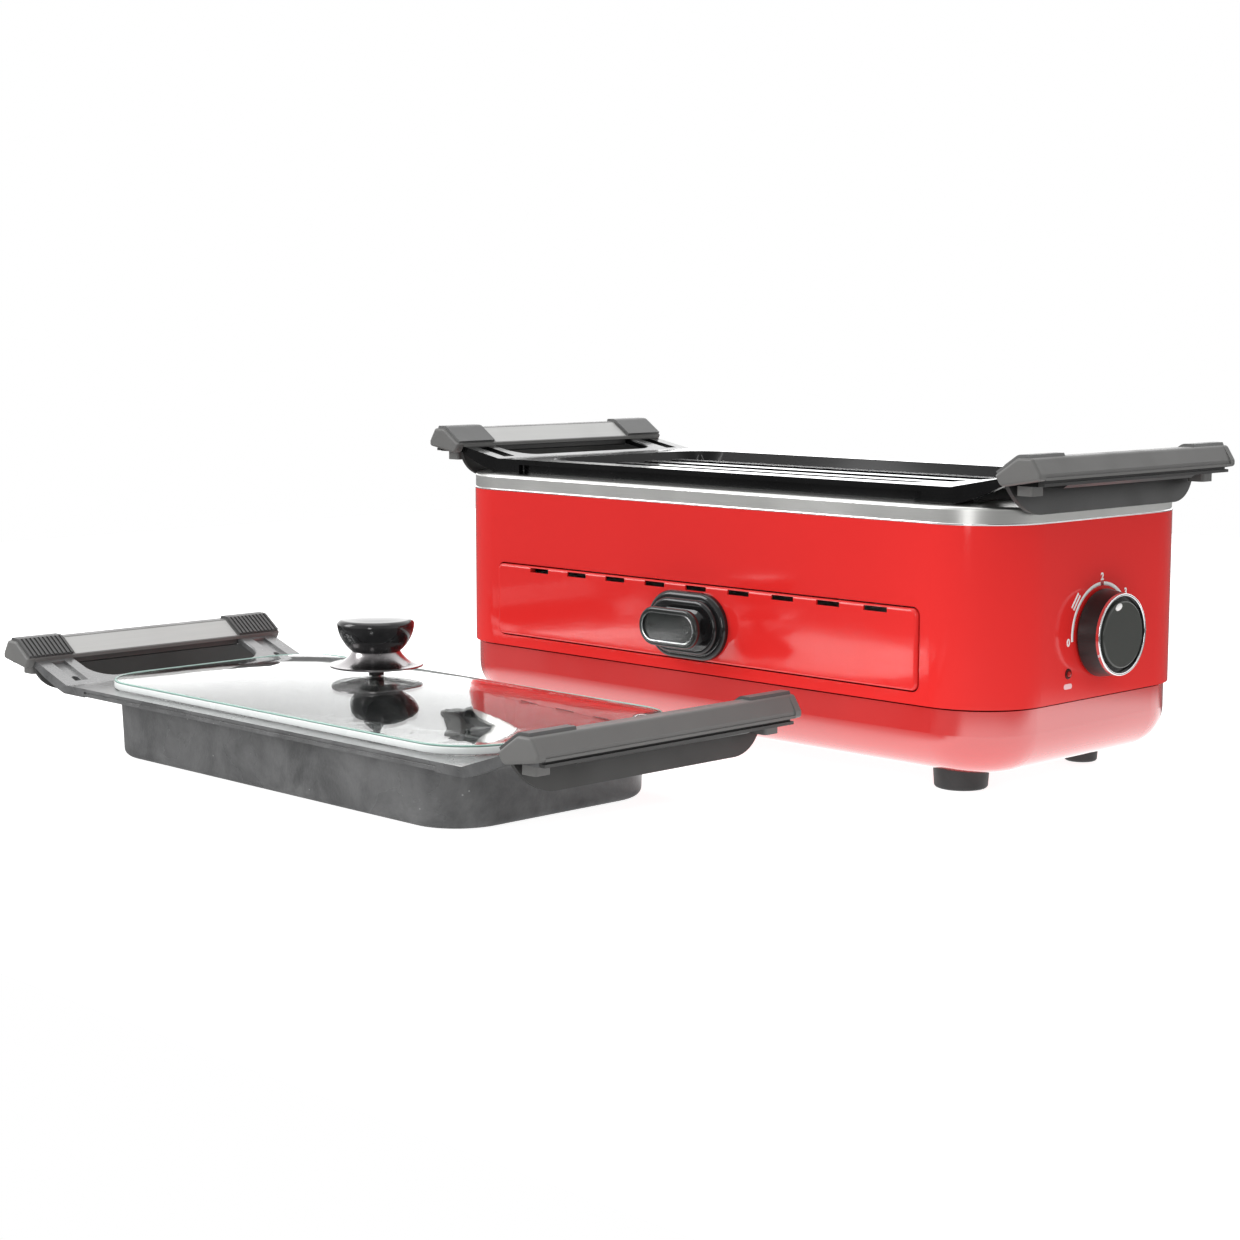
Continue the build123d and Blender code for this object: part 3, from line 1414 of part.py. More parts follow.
knob_bore = lid_screw_diameter / 2 + screw_gap
knob_rim_z = knob_z + knob_height - knob_crown
crown_radius = knob_radius - knob_edge_round
with BuildPart() as lid_knob:
    with BuildSketch(lid_section):
        with BuildLine():
            Line((knob_bore, knob_z), (knob_neck_radius, knob_z))
            ThreePointArc(
                (knob_neck_radius, knob_z),
                (knob_neck_radius + knob_belly_out, knob_z + knob_belly_up),
                (knob_radius, knob_rim_z - knob_edge_round),
            )
            ThreePointArc(
                (knob_radius, knob_rim_z - knob_edge_round),
                (knob_radius - knob_shoulder_in, knob_rim_z - knob_edge_round / 3),
                (crown_radius, knob_rim_z),
            )
            Spline(
                (crown_radius, knob_rim_z),
                (crown_radius / 2, knob_rim_z + knob_crown_half_way * knob_crown),
                (0, knob_rim_z + knob_crown),
                tangents=[(-1, knob_crown_start), (-1, 0)],
            )
            Polyline(
                (0, knob_rim_z + knob_crown),
                (0, knob_z + knob_screw_depth),
                (knob_bore, knob_z + knob_screw_depth),
                (knob_bore, knob_z),
            )
        make_face()
    revolve(axis=lid_axis)
keep(lid_knob, "lid_knob")

screw_head_top = glass_under - lid_washer_height
with BuildPart() as lid_screw:
    with BuildSketch(Plane(origin=(pan_x, lid_y, screw_head_top - lid_screw_head_height))):
        Circle(lid_screw_head / 2)
    extrude(amount=lid_screw_head_height)
    with BuildSketch(Plane(origin=(pan_x, lid_y, screw_head_top))):
        Circle(lid_screw_diameter / 2)
    extrude(amount=knob_z + knob_screw_depth - slide_gap - screw_head_top)
keep(lid_screw, "lid_screw")
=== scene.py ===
import bpy
import math
from mathutils import Matrix, Vector


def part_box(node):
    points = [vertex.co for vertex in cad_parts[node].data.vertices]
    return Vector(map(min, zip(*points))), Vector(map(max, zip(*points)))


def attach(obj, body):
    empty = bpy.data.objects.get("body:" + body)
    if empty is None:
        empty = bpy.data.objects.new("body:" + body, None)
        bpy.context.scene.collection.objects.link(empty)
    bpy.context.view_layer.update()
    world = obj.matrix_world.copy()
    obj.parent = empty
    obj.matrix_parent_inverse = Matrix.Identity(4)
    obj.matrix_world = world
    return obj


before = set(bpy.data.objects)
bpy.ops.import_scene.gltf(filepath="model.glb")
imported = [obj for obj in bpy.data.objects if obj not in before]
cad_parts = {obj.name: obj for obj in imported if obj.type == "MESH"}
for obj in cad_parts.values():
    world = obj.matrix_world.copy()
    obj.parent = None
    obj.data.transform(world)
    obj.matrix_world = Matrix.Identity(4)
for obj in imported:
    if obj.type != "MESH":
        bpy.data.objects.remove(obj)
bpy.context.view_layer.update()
print("stage: frame loaded,", len(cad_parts), "nodes")

# where the set stands, read from the solids
shellLow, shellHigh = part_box("upper_shell")
unitMiddle = (shellLow + shellHigh) / 2
millimetre = 0.001

# camera, fitted to the housing's edges in the photograph
viewpoint = {
    "fromHousing": (0.8275, -0.9427, 0.2219),
    "towards": (-0.1383, 0.0, 0.0501),
    "lens": 68.53,
    "sensor": 36.0,
    "clip": (0.05, 50.0),
}

# a white table that glows softly, a bright wall behind it and a dark room below and in front
studio = {
    "tableBeyond": {"left": 1.10, "right": 0.36, "front": 0.46, "back": 1.10},
    "tableDrop": 0.0002,
    "tableTone": (0.62, 0.62, 0.62),
    "tableRoughness": 0.9,
    "tableSpecular": 0.1,
    "tableGlow": 0.86,
    "tableShine": {"near": 0.0, "far": 0.10, "bright": 1.35, "dim": 0.20,
                   "rightward": 0.16, "rightSpan": (-0.10, 0.06)},
    # each span gives where a change of light begins and ends, by direction
    "roomFront": 0.80,
    "roomBack": 1.70,
    "depthSpan": (-0.5, 0.7),
    "roomLeft": 1.10,
    "roomRight": 0.62,
    "softLeft": 1.05,
    "softRight": 0.72,
    "sideSpan": (-0.7, 0.7),
    "horizonLift": 0.6,
    "liftSpan": (0.06, 0.14),
    "liftDepthSpan": (0.1, 0.5),
    "roomBelow": 0.20,
    "horizonSpan": (-0.04, 0.03),
    "behindTone": 1.0,
    "softboxes": [
        # name, place, aim, width, height, watts
        ("overhead", (0.0, -0.1, 1.9), (0.0, 0.0, 0.0), 2.0, 1.4, 9.0),
        ("leftWindow", (-1.5, -1.5, 1.2), (0.0, 0.0, 0.08), 1.0, 1.4, 25.0),
        ("frontStrip", (0.62, -1.10, 0.26), (0.25, -0.1, 0.13), 0.20, 0.46, 1.8),
    ],
}


def addObject(name, data):
    made = bpy.data.objects.new(name, data)
    bpy.context.scene.collection.objects.link(made)
    return made


def addNode(tree, kind, values=None, **settings):
    # a node with its own settings, and fixed values on its inputs
    node = tree.nodes.new(kind)
    for label, value in settings.items():
        setattr(node, label, value)
    for label, value in (values or {}).items():
        node.inputs[label].default_value = value
    return node


def wire(tree, links):
    # each link goes from a node's output to a node's input
    for source, output, target, entry in links:
        tree.links.new(source.outputs[output], target.inputs[entry])


def placeCamera():
    data = bpy.data.cameras.new("viewCamera")
    data.lens = viewpoint["lens"]
    data.sensor_width = viewpoint["sensor"]
    data.clip_start, data.clip_end = viewpoint["clip"]
    camera = addObject("viewCamera", data)
    home = Vector((unitMiddle.x, unitMiddle.y, 0.0))
    camera.location = home + Vector(viewpoint["fromHousing"])
    aim = home + Vector(viewpoint["towards"])
    camera.rotation_euler = (aim - camera.location).to_track_quat("-Z", "Y").to_euler()
    bpy.context.scene.camera = camera


def addTableShine(tree, shader):
    # what gloss picks up from the table: bright close to the housing, dim farther off
    shine = studio["tableShine"]
    middle = Vector((unitMiddle.x, unitMiddle.y, 0))
    half = Vector((shellHigh.x - shellLow.x, shellHigh.y - shellLow.y, 0)) / 2

    def step(kind, first, second=None):
        node = addNode(tree, "ShaderNodeVectorMath", operation=kind)
        tree.links.new(first, node.inputs[0])
        if second is not None:
            node.inputs[1].default_value = second
        return node.outputs

    coord = addNode(tree, "ShaderNodeTexCoord")
    offset = step("ABSOLUTE", step("SUBTRACT", coord.outputs["Object"], middle)["Vector"])
    outside = step("MAXIMUM", step("SUBTRACT", offset["Vector"], half)["Vector"], (0, 0, 0))
    away = step("LENGTH", outside["Vector"])
    # the bright part reaches farther out on the dial's side
    split = addNode(tree, "ShaderNodeSeparateXYZ")
    side = addNode(tree, "ShaderNodeMapRange", {
        "From Min": shellHigh.x + shine["rightSpan"][0],
        "From Max": shellHigh.x + shine["rightSpan"][1],
        "To Max": shine["rightward"],
    }, interpolation_type="SMOOTHSTEP")
    nearer = addNode(tree, "ShaderNodeMath", operation="SUBTRACT")
    tree.links.new(away["Value"], nearer.inputs[0])
    level = addNode(tree, "ShaderNodeMapRange", {
        "From Min": shine["near"], "From Max": shine["far"],
        "To Min": shine["bright"], "To Max": shine["dim"],
    }, interpolation_type="SMOOTHSTEP")
    glow = addNode(tree, "ShaderNodeEmission")
    seen = addNode(tree, "ShaderNodeLightPath")
    mix = addNode(tree, "ShaderNodeMixShader")
    wire(tree, [
        (coord, "Object", split, 0),
        (split, "X", side, "Value"),
        (side, "Result", nearer, 1),
        (nearer, 0, level, "Value"),
        (level, "Result", glow, "Strength"),
        (seen, "Is Glossy Ray", mix, 0),
        (shader, 0, mix, 1),
        (glow, 0, mix, 2),
        (mix, 0, tree.nodes["Material Output"], "Surface"),
    ])


def addTable():
    beyond = studio["tableBeyond"]
    left, right = shellLow.x - beyond["left"], shellHigh.x + beyond["right"]
    front, back = shellLow.y - beyond["front"], shellHigh.y + beyond["back"]
    mesh = bpy.data.meshes.new("studioTable")
    corners = [(left, front, 0), (right, front, 0), (right, back, 0), (left, back, 0)]
    mesh.from_pydata(corners, [], [(0, 1, 2, 3)])
    table = addObject("studioTable", mesh)
    table.location.z = -studio["tableDrop"]
    paint = bpy.data.materials.new("tablePaint")
    paint.use_nodes = True
    shader = paint.node_tree.nodes["Principled BSDF"]
    shader.inputs["Base Color"].default_value = (*studio["tableTone"], 1)
    shader.inputs["Roughness"].default_value = studio["tableRoughness"]
    shader.inputs["Specular IOR Level"].default_value = studio["tableSpecular"]
    shader.inputs["Emission Color"].default_value = (1, 1, 1, 1)
    shader.inputs["Emission Strength"].default_value = studio["tableGlow"]
    addTableShine(paint.node_tree, shader)
    mesh.materials.append(paint)


def addRoom():
    # what the object sees: light by direction, dark below the horizon past the table's edge
    world = bpy.data.worlds.new("studioRoom")
    bpy.context.scene.world = world
    world.use_nodes = True
    tree = world.node_tree
    tree.nodes.clear()

    def blend(source, span, first, last):
        node = addNode(tree, "ShaderNodeMapRange", {
            "From Min": span[0], "From Max": span[1], "To Min": first, "To Max": last,
        }, interpolation_type="SMOOTHSTEP")
        tree.links.new(source, node.inputs["Value"])
        return node.outputs["Result"]

    def combine(kind, first, second):
        node = addNode(tree, "ShaderNodeMath", operation=kind)
        for socket, value in zip(node.inputs, (first, second)):
            if isinstance(value, float):
                socket.default_value = value
            else:
                tree.links.new(value, socket)
        return node.outputs[0]

    coord = addNode(tree, "ShaderNodeTexCoord")
    split = addNode(tree, "ShaderNodeSeparateXYZ")
    wire(tree, [(coord, "Generated", split, 0)])
    sideways, backwards, upwards = (split.outputs[axis] for axis in "XYZ")
    # gloss sees a room that brightens to the back, most of all just over the horizon
    depthwise = blend(backwards, studio["depthSpan"], studio["roomFront"], studio["roomBack"])
    sidewise = blend(sideways, studio["sideSpan"], studio["roomLeft"], studio["roomRight"])
    lift = combine("MULTIPLY", blend(upwards, studio["liftSpan"], studio["horizonLift"], 0.0),
                   blend(backwards, studio["liftDepthSpan"], 0.0, 1.0))
    sharp = combine("MULTIPLY", combine("MULTIPLY", depthwise, sidewise),
                    combine("ADD", 1.0, lift))
    # everything else gets a soft even light, a little stronger from the left
    soft = blend(sideways, studio["sideSpan"], studio["softLeft"], studio["softRight"])
    seen = addNode(tree, "ShaderNodeLightPath")
    upper = addNode(tree, "ShaderNodeMix")
    tree.links.new(seen.outputs["Is Glossy Ray"], upper.inputs["Factor"])
    tree.links.new(soft, upper.inputs["A"])
    tree.links.new(sharp, upper.inputs["B"])
    above = blend(upwards, studio["horizonSpan"], 0.0, 1.0)
    below = combine("SUBTRACT", 1.0, above)
    lit = combine("ADD", combine("MULTIPLY", upper.outputs["Result"], above),
                  combine("MULTIPLY", below, studio["roomBelow"]))

    white = {"Color": (1, 1, 1, 1)}
    room = addNode(tree, "ShaderNodeBackground", white)
    behind = addNode(tree, "ShaderNodeBackground", {**white, "Strength": studio["behindTone"]})
    tree.links.new(lit, room.inputs["Strength"])
    mix = addNode(tree, "ShaderNodeMixShader")
    out = addNode(tree, "ShaderNodeOutputWorld")
    wire(tree, [
        (seen, "Is Camera Ray", mix, 0),
        (room, 0, mix, 1),
        (behind, 0, mix, 2),
        (mix, 0, out, "Surface"),
    ])


def addSoftboxes():
    for name, place, aim, width, height, watts in studio["softboxes"]:
        data = bpy.data.lights.new(name, "AREA")
        data.shape = "RECTANGLE"
        data.size = width
        data.size_y = height
        data.energy = watts
        light = addObject(name, data)
        light.location = place
        light.rotation_euler = (Vector(aim) - Vector(place)).to_track_quat("-Z", "Y").to_euler()
        light.visible_camera = False


placeCamera()
addTable()
addRoom()
addSoftboxes()
bpy.context.scene.view_settings.view_transform = "Standard"
print("stage: camera, table and light")


# shared effects, each a node group with named inputs
number = "NodeSocketFloat"
arrow = "NodeSocketVector"


effectTuning = {
    "cloudShare": 0.035,  # the slow cloud's scale as a share of the grain's
    "gritShare": 2.7,  # the fine grit's scale as a multiple of the cells'
    "gritDepth": 0.45,
    "patchEdge": (0.36, 0.68),
    "markEdge": (0.42, 0.72),
    "speckGroups": 60.0,
    "speckKeep": 0.60,
}


def newGroup(name, inputs, outputs):
    tree = bpy.data.node_groups.new(name, "ShaderNodeTree")
    for label, kind, value in inputs:
        socket = tree.interface.new_socket(name=label, in_out="INPUT", socket_type=kind)
        socket.default_value = value
    for label, kind in outputs:
        tree.interface.new_socket(name=label, in_out="OUTPUT", socket_type=kind)
    start = tree.nodes.new("NodeGroupInput")
    end = tree.nodes.new("NodeGroupOutput")
    return tree, start, end


def makeSoftGrain():
    # fine even grain, as on moulded plastic and enamel, with a broad slow cloud as its mask
    tree, start, end = newGroup(
        "softGrain",
        [("Scale", number, 900.0), ("Roughness", number, 0.55)],
        [("Height", number), ("Mask", number)],
    )
    coord = addNode(tree, "ShaderNodeTexCoord")
    noise = addNode(tree, "ShaderNodeTexNoise", {"Detail": 3.0})
    broad = addNode(tree, "ShaderNodeTexNoise", {"Detail": 2.0})
    ratio = addNode(tree, "ShaderNodeMath", {1: effectTuning["cloudShare"]}, operation="MULTIPLY")
    wire(tree, [
        (coord, "Object", noise, "Vector"),
        (coord, "Object", broad, "Vector"),
        (start, "Scale", noise, "Scale"),
        (start, "Roughness", noise, "Roughness"),
        (start, "Scale", ratio, 0),
        (ratio, 0, broad, "Scale"),
        (noise, "Fac", end, "Height"),
        (broad, "Fac", end, "Mask"),
    ])
    return tree


def makeCastSkin():
    # pebbled coating over a casting: rounded cells, fine grit and cloudy rubbed patches
    tree, start, end = newGroup(
        "castSkin",
        [("Scale", number, 420.0), ("Softness", number, 0.35), ("Patch Scale", number, 34.0)],
        [("Height", number), ("Mask", number)],
    )
    coord = addNode(tree, "ShaderNodeTexCoord")
    cells = addNode(tree, "ShaderNodeTexVoronoi", feature="SMOOTH_F1")
    fine = addNode(tree, "ShaderNodeTexNoise", {"Detail": 4.0})
    finer = addNode(tree, "ShaderNodeMath", {1: effectTuning["gritShare"]}, operation="MULTIPLY")
    blend = addNode(tree, "ShaderNodeMath", {1: effectTuning["gritDepth"]},
                    operation="MULTIPLY_ADD")
    patches = addNode(tree, "ShaderNodeTexNoise", {
        "Detail": 7.0, "Roughness": 0.68, "Distortion": 0.5,
    })
    first, last = effectTuning["patchEdge"]
    sharpen = addNode(tree, "ShaderNodeMapRange", {"From Min": first, "From Max": last})
    wire(tree, [
        (coord, "Object", cells, "Vector"),
        (coord, "Object", fine, "Vector"),
        (coord, "Object", patches, "Vector"),
        (start, "Scale", cells, "Scale"),
        (start, "Softness", cells, "Smoothness"),
        (start, "Scale", finer, 0),
        (finer, 0, fine, "Scale"),
        (start, "Patch Scale", patches, "Scale"),
        (fine, "Fac", blend, 0),
        (cells, "Distance", blend, 2),
        (patches, "Fac", sharpen, "Value"),
        (blend, 0, end, "Height"),
        (sharpen, "Result", end, "Mask"),
    ])
    return tree


def makeBrushLines():
    # long fine lines: the stretch is small along the lines and large across them
    tree, start, end = newGroup(
        "brushLines",
        [("Stretch", arrow, (20.0, 20.0, 1600.0))],
        [("Height", number), ("Mask", number)],
    )
    coord = addNode(tree, "ShaderNodeTexCoord")
    mapping = addNode(tree, "ShaderNodeMapping")
    noise = addNode(tree, "ShaderNodeTexNoise", {"Scale": 1.0, "Detail": 4.0, "Roughness": 0.62})
    wire(tree, [
        (coord, "Object", mapping, "Vector"),
        (start, "Stretch", mapping, "Scale"),
        (mapping, "Vector", noise, "Vector"),
        (noise, "Fac", end, "Height"),
        (noise, "Fac", end, "Mask"),
    ])
    return tree


def makeHandMarks():
    # faint wiping and finger marks that only change the gloss
    tree, start, end = newGroup(
        "handMarks",
        [("Scale", number, 24.0), ("Amount", number, 1.0)],
        [("Mask", number)],
    )
    coord = addNode(tree, "ShaderNodeTexCoord")
    clouds = addNode(tree, "ShaderNodeTexNoise", {"Detail": 5.0, "Distortion": 0.6})
    first, last = effectTuning["markEdge"]
    band = addNode(tree, "ShaderNodeMapRange", {"From Min": first, "From Max": last})
    amount = addNode(tree, "ShaderNodeMath", operation="MULTIPLY")
    wire(tree, [
        (coord, "Object", clouds, "Vector"),
        (start, "Scale", clouds, "Scale"),
        (clouds, "Fac", band, "Value"),
        (band, "Result", amount, 0),
        (start, "Amount", amount, 1),
        (amount, 0, end, "Mask"),
    ])
    return tree


def makeDustSpecks():
    # sparse small pale specks that settle on dark coatings
    tree, start, end = newGroup(
        "dustSpecks",
        [("Scale", number, 260.0), ("Reach", number, 0.10)],
        [("Mask", number)],
    )
    coord = addNode(tree, "ShaderNodeTexCoord")
    cells = addNode(tree, "ShaderNodeTexVoronoi")
    spots = addNode(tree, "ShaderNodeMath", operation="LESS_THAN")
    thin = addNode(tree, "ShaderNodeTexNoise", {"Scale": effectTuning["speckGroups"]})
    keepFew = addNode(tree, "ShaderNodeMath", {1: effectTuning["speckKeep"]},
                      operation="GREATER_THAN")
    both = addNode(tree, "ShaderNodeMath", operation="MULTIPLY")
    wire(tree, [
        (coord, "Object", cells, "Vector"),
        (coord, "Object", thin, "Vector"),
        (start, "Scale", cells, "Scale"),
        (cells, "Distance", spots, 0),
        (start, "Reach", spots, 1),
        (thin, "Fac", keepFew, 0),
        (spots, 0, both, 0),
        (keepFew, 0, both, 1),
        (both, 0, end, "Mask"),
    ])
    return tree


softGrain = makeSoftGrain()
castSkin = makeCastSkin()
brushLines = makeBrushLines()
handMarks = makeHandMarks()
dustSpecks = makeDustSpecks()
print("stage: shared surface effects")


def newSurface(name):
    made = bpy.data.materials.new(name)
    made.use_nodes = True
    shader = made.node_tree.nodes["Principled BSDF"]
    return made, made.node_tree, shader


def addEffect(tree, group, values):
    return addNode(tree, "ShaderNodeGroup", values, node_tree=group)


def tintBetween(tree, shader, mask, dark, light):
    # base colour moves between two near tones by a mask
    mix = addNode(tree, "ShaderNodeMix", {"A": (*dark, 1), "B": (*light, 1)}, data_type="RGBA")
    tree.links.new(mask, mix.inputs["Factor"])
    tree.links.new(mix.outputs["Result"], shader.inputs["Base Color"])
    return mix


def addSpecks(tree, shader, mix, values):
    # a third tone laid over the first two where the specks are
    specks = addEffect(tree, dustSpecks, values["at"])
    over = addNode(tree, "ShaderNodeMix", {"B": (*values["tone"], 1)}, data_type="RGBA")
    wire(tree, [
        (specks, "Mask", over, "Factor"),
        (mix, "Result", over, "A"),
        (over, "Result", shader, "Base Color"),
    ])


def glossBetween(tree, shader, mask, low, high):
    # roughness moves between two values by a mask
    span = addNode(tree, "ShaderNodeMapRange", {"To Min": low, "To Max": high})
    tree.links.new(mask, span.inputs["Value"])
    tree.links.new(span.outputs["Result"], shader.inputs["Roughness"])


def bumpFrom(tree, shader, height, strength, distance):
    bump = addNode(tree, "ShaderNodeBump", {"Strength": strength, "Distance": distance})
    tree.links.new(height, bump.inputs["Height"])
    tree.links.new(bump.outputs["Normal"], shader.inputs["Normal"])


def surface(name, values):
    # one finish: a skin effect for bump and tone, hand marks for gloss, specks where wanted
    made, tree, shader = newSurface(name)
    skin = addEffect(tree, values["skin"], values["skinValues"])
    marks = addEffect(tree, handMarks, values["marks"])
    mix = tintBetween(tree, shader, skin.outputs["Mask"], values["dark"], values["light"])
    if "specks" in values:
        addSpecks(tree, shader, mix, values["specks"])
    glossBetween(tree, shader, marks.outputs["Mask"], *values["gloss"])
    bumpFrom(tree, shader, skin.outputs["Height"], values["bump"], values["depth"])
    for label, value in values.get("fixed", {}).items():
        shader.inputs[label].default_value = value
    return made


def shade(tone, share):
    return tuple(share * part for part in tone)


def enamel():
    return surface("redEnamel", {
        "skin": softGrain, "skinValues": {"Scale": 260.0},
        "dark": (0.66, 0.021, 0.019), "light": (0.72, 0.027, 0.025),
        "gloss": (0.07, 0.14), "marks": {"Scale": 14.0},
        "bump": 0.03, "depth": 0.0004,
    })


def tubGloss():
    return surface("redTub", {
        "skin": softGrain, "skinValues": {"Scale": 180.0},
        "dark": (0.55, 0.018, 0.017), "light": (0.61, 0.024, 0.022),
        "gloss": (0.10, 0.20), "marks": {"Scale": 11.0},
        "bump": 0.04, "depth": 0.0004,
        "fixed": {"Coat Weight": 1.0, "Coat IOR": 2.1, "Coat Roughness": 0.10},
    })


def bandSteel():
    return surface("bandSteel", {
        "skin": brushLines, "skinValues": {"Stretch": (10.0, 10.0, 2600.0)},
        "dark": (0.68, 0.68, 0.66), "light": (0.76, 0.76, 0.74),
        "gloss": (0.30, 0.38), "marks": {"Scale": 18.0},
        "bump": 0.07, "depth": 0.0003,
        "fixed": {"Metallic": 1.0},
    })


def sheetSteel(name, dark, light, gloss=(0.30, 0.46)):
    return surface(name, {
        "skin": brushLines, "skinValues": {"Stretch": (900.0, 30.0, 30.0)},
        "dark": dark, "light": light,
        "gloss": gloss, "marks": {"Scale": 20.0},
        "bump": 0.05, "depth": 0.0001,
        "fixed": {"Metallic": 1.0},
    })


def elementTube():
    return surface("elementTube", {
        "skin": softGrain, "skinValues": {"Scale": 700.0},
        "dark": (0.055, 0.048, 0.044), "light": (0.13, 0.11, 0.10),
        "gloss": (0.38, 0.6), "marks": {"Scale": 30.0},
        "bump": 0.12, "depth": 0.0002,
        "fixed": {"Metallic": 0.8},
    })


def plateCoat():
    return surface("plateCoat", {
        "skin": castSkin, "skinValues": {"Scale": 900.0, "Patch Scale": 22.0},
        "dark": (0.0020, 0.0020, 0.0022), "light": (0.0046, 0.0046, 0.0049),
        "gloss": (0.24, 0.34), "marks": {"Scale": 16.0},
        "bump": 0.012, "depth": 0.00025,
        "specks": {"at": {"Scale": 190.0, "Reach": 0.07}, "tone": (0.05, 0.05, 0.05)},
        "fixed": {"Specular IOR Level": 0.1, "Coat Weight": 1.0, "Coat IOR": 1.2,
                  "Coat Roughness": 0.08},
    })


def panCoat():
    return surface("panCoat", {
        "skin": castSkin, "skinValues": {"Scale": 620.0, "Patch Scale": 30.0},
        "dark": (0.058, 0.059, 0.060), "light": (0.134, 0.135, 0.136),
        "gloss": (0.26, 0.40), "marks": {"Scale": 16.0},
        "bump": 0.16, "depth": 0.0004,
        "specks": {"at": {"Scale": 210.0, "Reach": 0.09}, "tone": (0.24, 0.24, 0.24)},
        "fixed": {"Specular IOR Level": 0.6, "Coat Weight": 0.8, "Coat Roughness": 0.22},
    })


def gripPlastic():
    return surface("gripPlastic", {
        "skin": softGrain, "skinValues": {"Scale": 1500.0},
        "dark": (0.108, 0.107, 0.104), "light": (0.128, 0.127, 0.123),
        "gloss": (0.40, 0.52), "marks": {"Scale": 30.0},
        "bump": 0.10, "depth": 0.0002,
    })


def gripSilver():
    return surface("gripSilver", {
        "skin": brushLines, "skinValues": {"Stretch": (1500.0, 18.0, 1500.0)},
        "dark": (0.37, 0.37, 0.365), "light": (0.44, 0.44, 0.43),
        "gloss": (0.34, 0.44), "marks": {"Scale": 30.0},
        "bump": 0.05, "depth": 0.0001,
        "fixed": {"Metallic": 0.6},
    })


def capPlastic(name, dark, light):
    return surface(name, {
        "skin": softGrain, "skinValues": {"Scale": 1300.0},
        "dark": dark, "light": light,
        "gloss": (0.46, 0.60), "marks": {"Scale": 34.0},
        "bump": 0.14, "depth": 0.0002,
    })


def guardPlastic(name, dark, light):
    return surface(name, {
        "skin": softGrain, "skinValues": {"Scale": 1400.0},
        "dark": dark, "light": light,
        "gloss": (0.36, 0.5), "marks": {"Scale": 28.0},
        "bump": 0.12, "depth": 0.0002,
    })


def blackGloss(name, dark, light, gloss, fixed=None):
    return surface(name, {
        "skin": softGrain, "skinValues": {"Scale": 500.0},
        "dark": dark, "light": light,
        "gloss": gloss, "marks": {"Scale": 40.0},
        "bump": 0.02, "depth": 0.0002,
        "fixed": fixed or {},
    })


def chrome(name, tone):
    return surface(name, {
        "skin": softGrain, "skinValues": {"Scale": 300.0},
        "dark": shade(tone, 0.93), "light": tone,
        "gloss": (0.04, 0.10), "marks": {"Scale": 60.0},
        "bump": 0.01, "depth": 0.0001,
        "fixed": {"Metallic": 1.0},
    })


def skirtSteel():
    return surface("skirtSteel", {
        "skin": softGrain, "skinValues": {"Scale": 600.0},
        "dark": (0.30, 0.285, 0.29), "light": (0.42, 0.40, 0.405),
        "gloss": (0.20, 0.32), "marks": {"Scale": 70.0},
        "bump": 0.03, "depth": 0.0001,
        "fixed": {"Metallic": 1.0},
    })


def rubber(name):
    return surface(name, {
        "skin": castSkin, "skinValues": {"Scale": 1500.0},
        "dark": (0.014, 0.014, 0.014), "light": (0.028, 0.028, 0.028),
        "gloss": (0.5, 0.68), "marks": {"Scale": 60.0},
        "bump": 0.2, "depth": 0.0002,
    })


def paleMoulding(name, dark, light):
    return surface(name, {
        "skin": softGrain, "skinValues": {"Scale": 1100.0},
        "dark": dark, "light": light,
        "gloss": (0.48, 0.62), "marks": {"Scale": 50.0},
        "bump": 0.1, "depth": 0.0002,
    })


def smallMetal(name, dark, light):
    return surface(name, {
        "skin": softGrain, "skinValues": {"Scale": 1600.0},
        "dark": dark, "light": light,
        "gloss": (0.22, 0.38), "marks": {"Scale": 120.0},
        "bump": 0.06, "depth": 0.0001,
        "fixed": {"Metallic": 1.0},
    })


def lensRed(name, dark, light):
    return blackGloss(name, dark, light, (0.05, 0.12), {"Specular IOR Level": 0.2})


paneGlass = {
    "dark": (0.955, 0.98, 0.97), "light": (0.97, 0.99, 0.982), "grain": {"Scale": 60.0},
    "gloss": (0.0, 0.03), "marks": {"Scale": 9.0}, "index": 1.52,
}


def lidGlass():
    # clear glass with wiping marks in its gloss and a pale green body
    made, tree, shader = newSurface("lidGlass")
    marks = addEffect(tree, handMarks, paneGlass["marks"])
    glossBetween(tree, shader, marks.outputs["Mask"], *paneGlass["gloss"])
    grain = addEffect(tree, softGrain, paneGlass["grain"])
    tintBetween(tree, shader, grain.outputs["Mask"], paneGlass["dark"], paneGlass["light"])
    shader.inputs["Transmission Weight"].default_value = 1.0
    shader.inputs["IOR"].default_value = paneGlass["index"]
    return made


def groundGlass(name, dark, light, gloss):
    # the worked edge of the lid: pale, slightly green, less clear than the pane
    return surface(name, {
        "skin": softGrain, "skinValues": {"Scale": 1800.0},
        "dark": dark, "light": light,
        "gloss": gloss, "marks": {"Scale": 30.0},
        "bump": 0.12, "depth": 0.0001,
    })


def printInk(name, tone):
    return surface(name, {
        "skin": softGrain, "skinValues": {"Scale": 2200.0},
        "dark": shade(tone, 0.92), "light": tone,
        "gloss": (0.35, 0.5), "marks": {"Scale": 120.0},
        "bump": 0.04, "depth": 0.0001,
    })


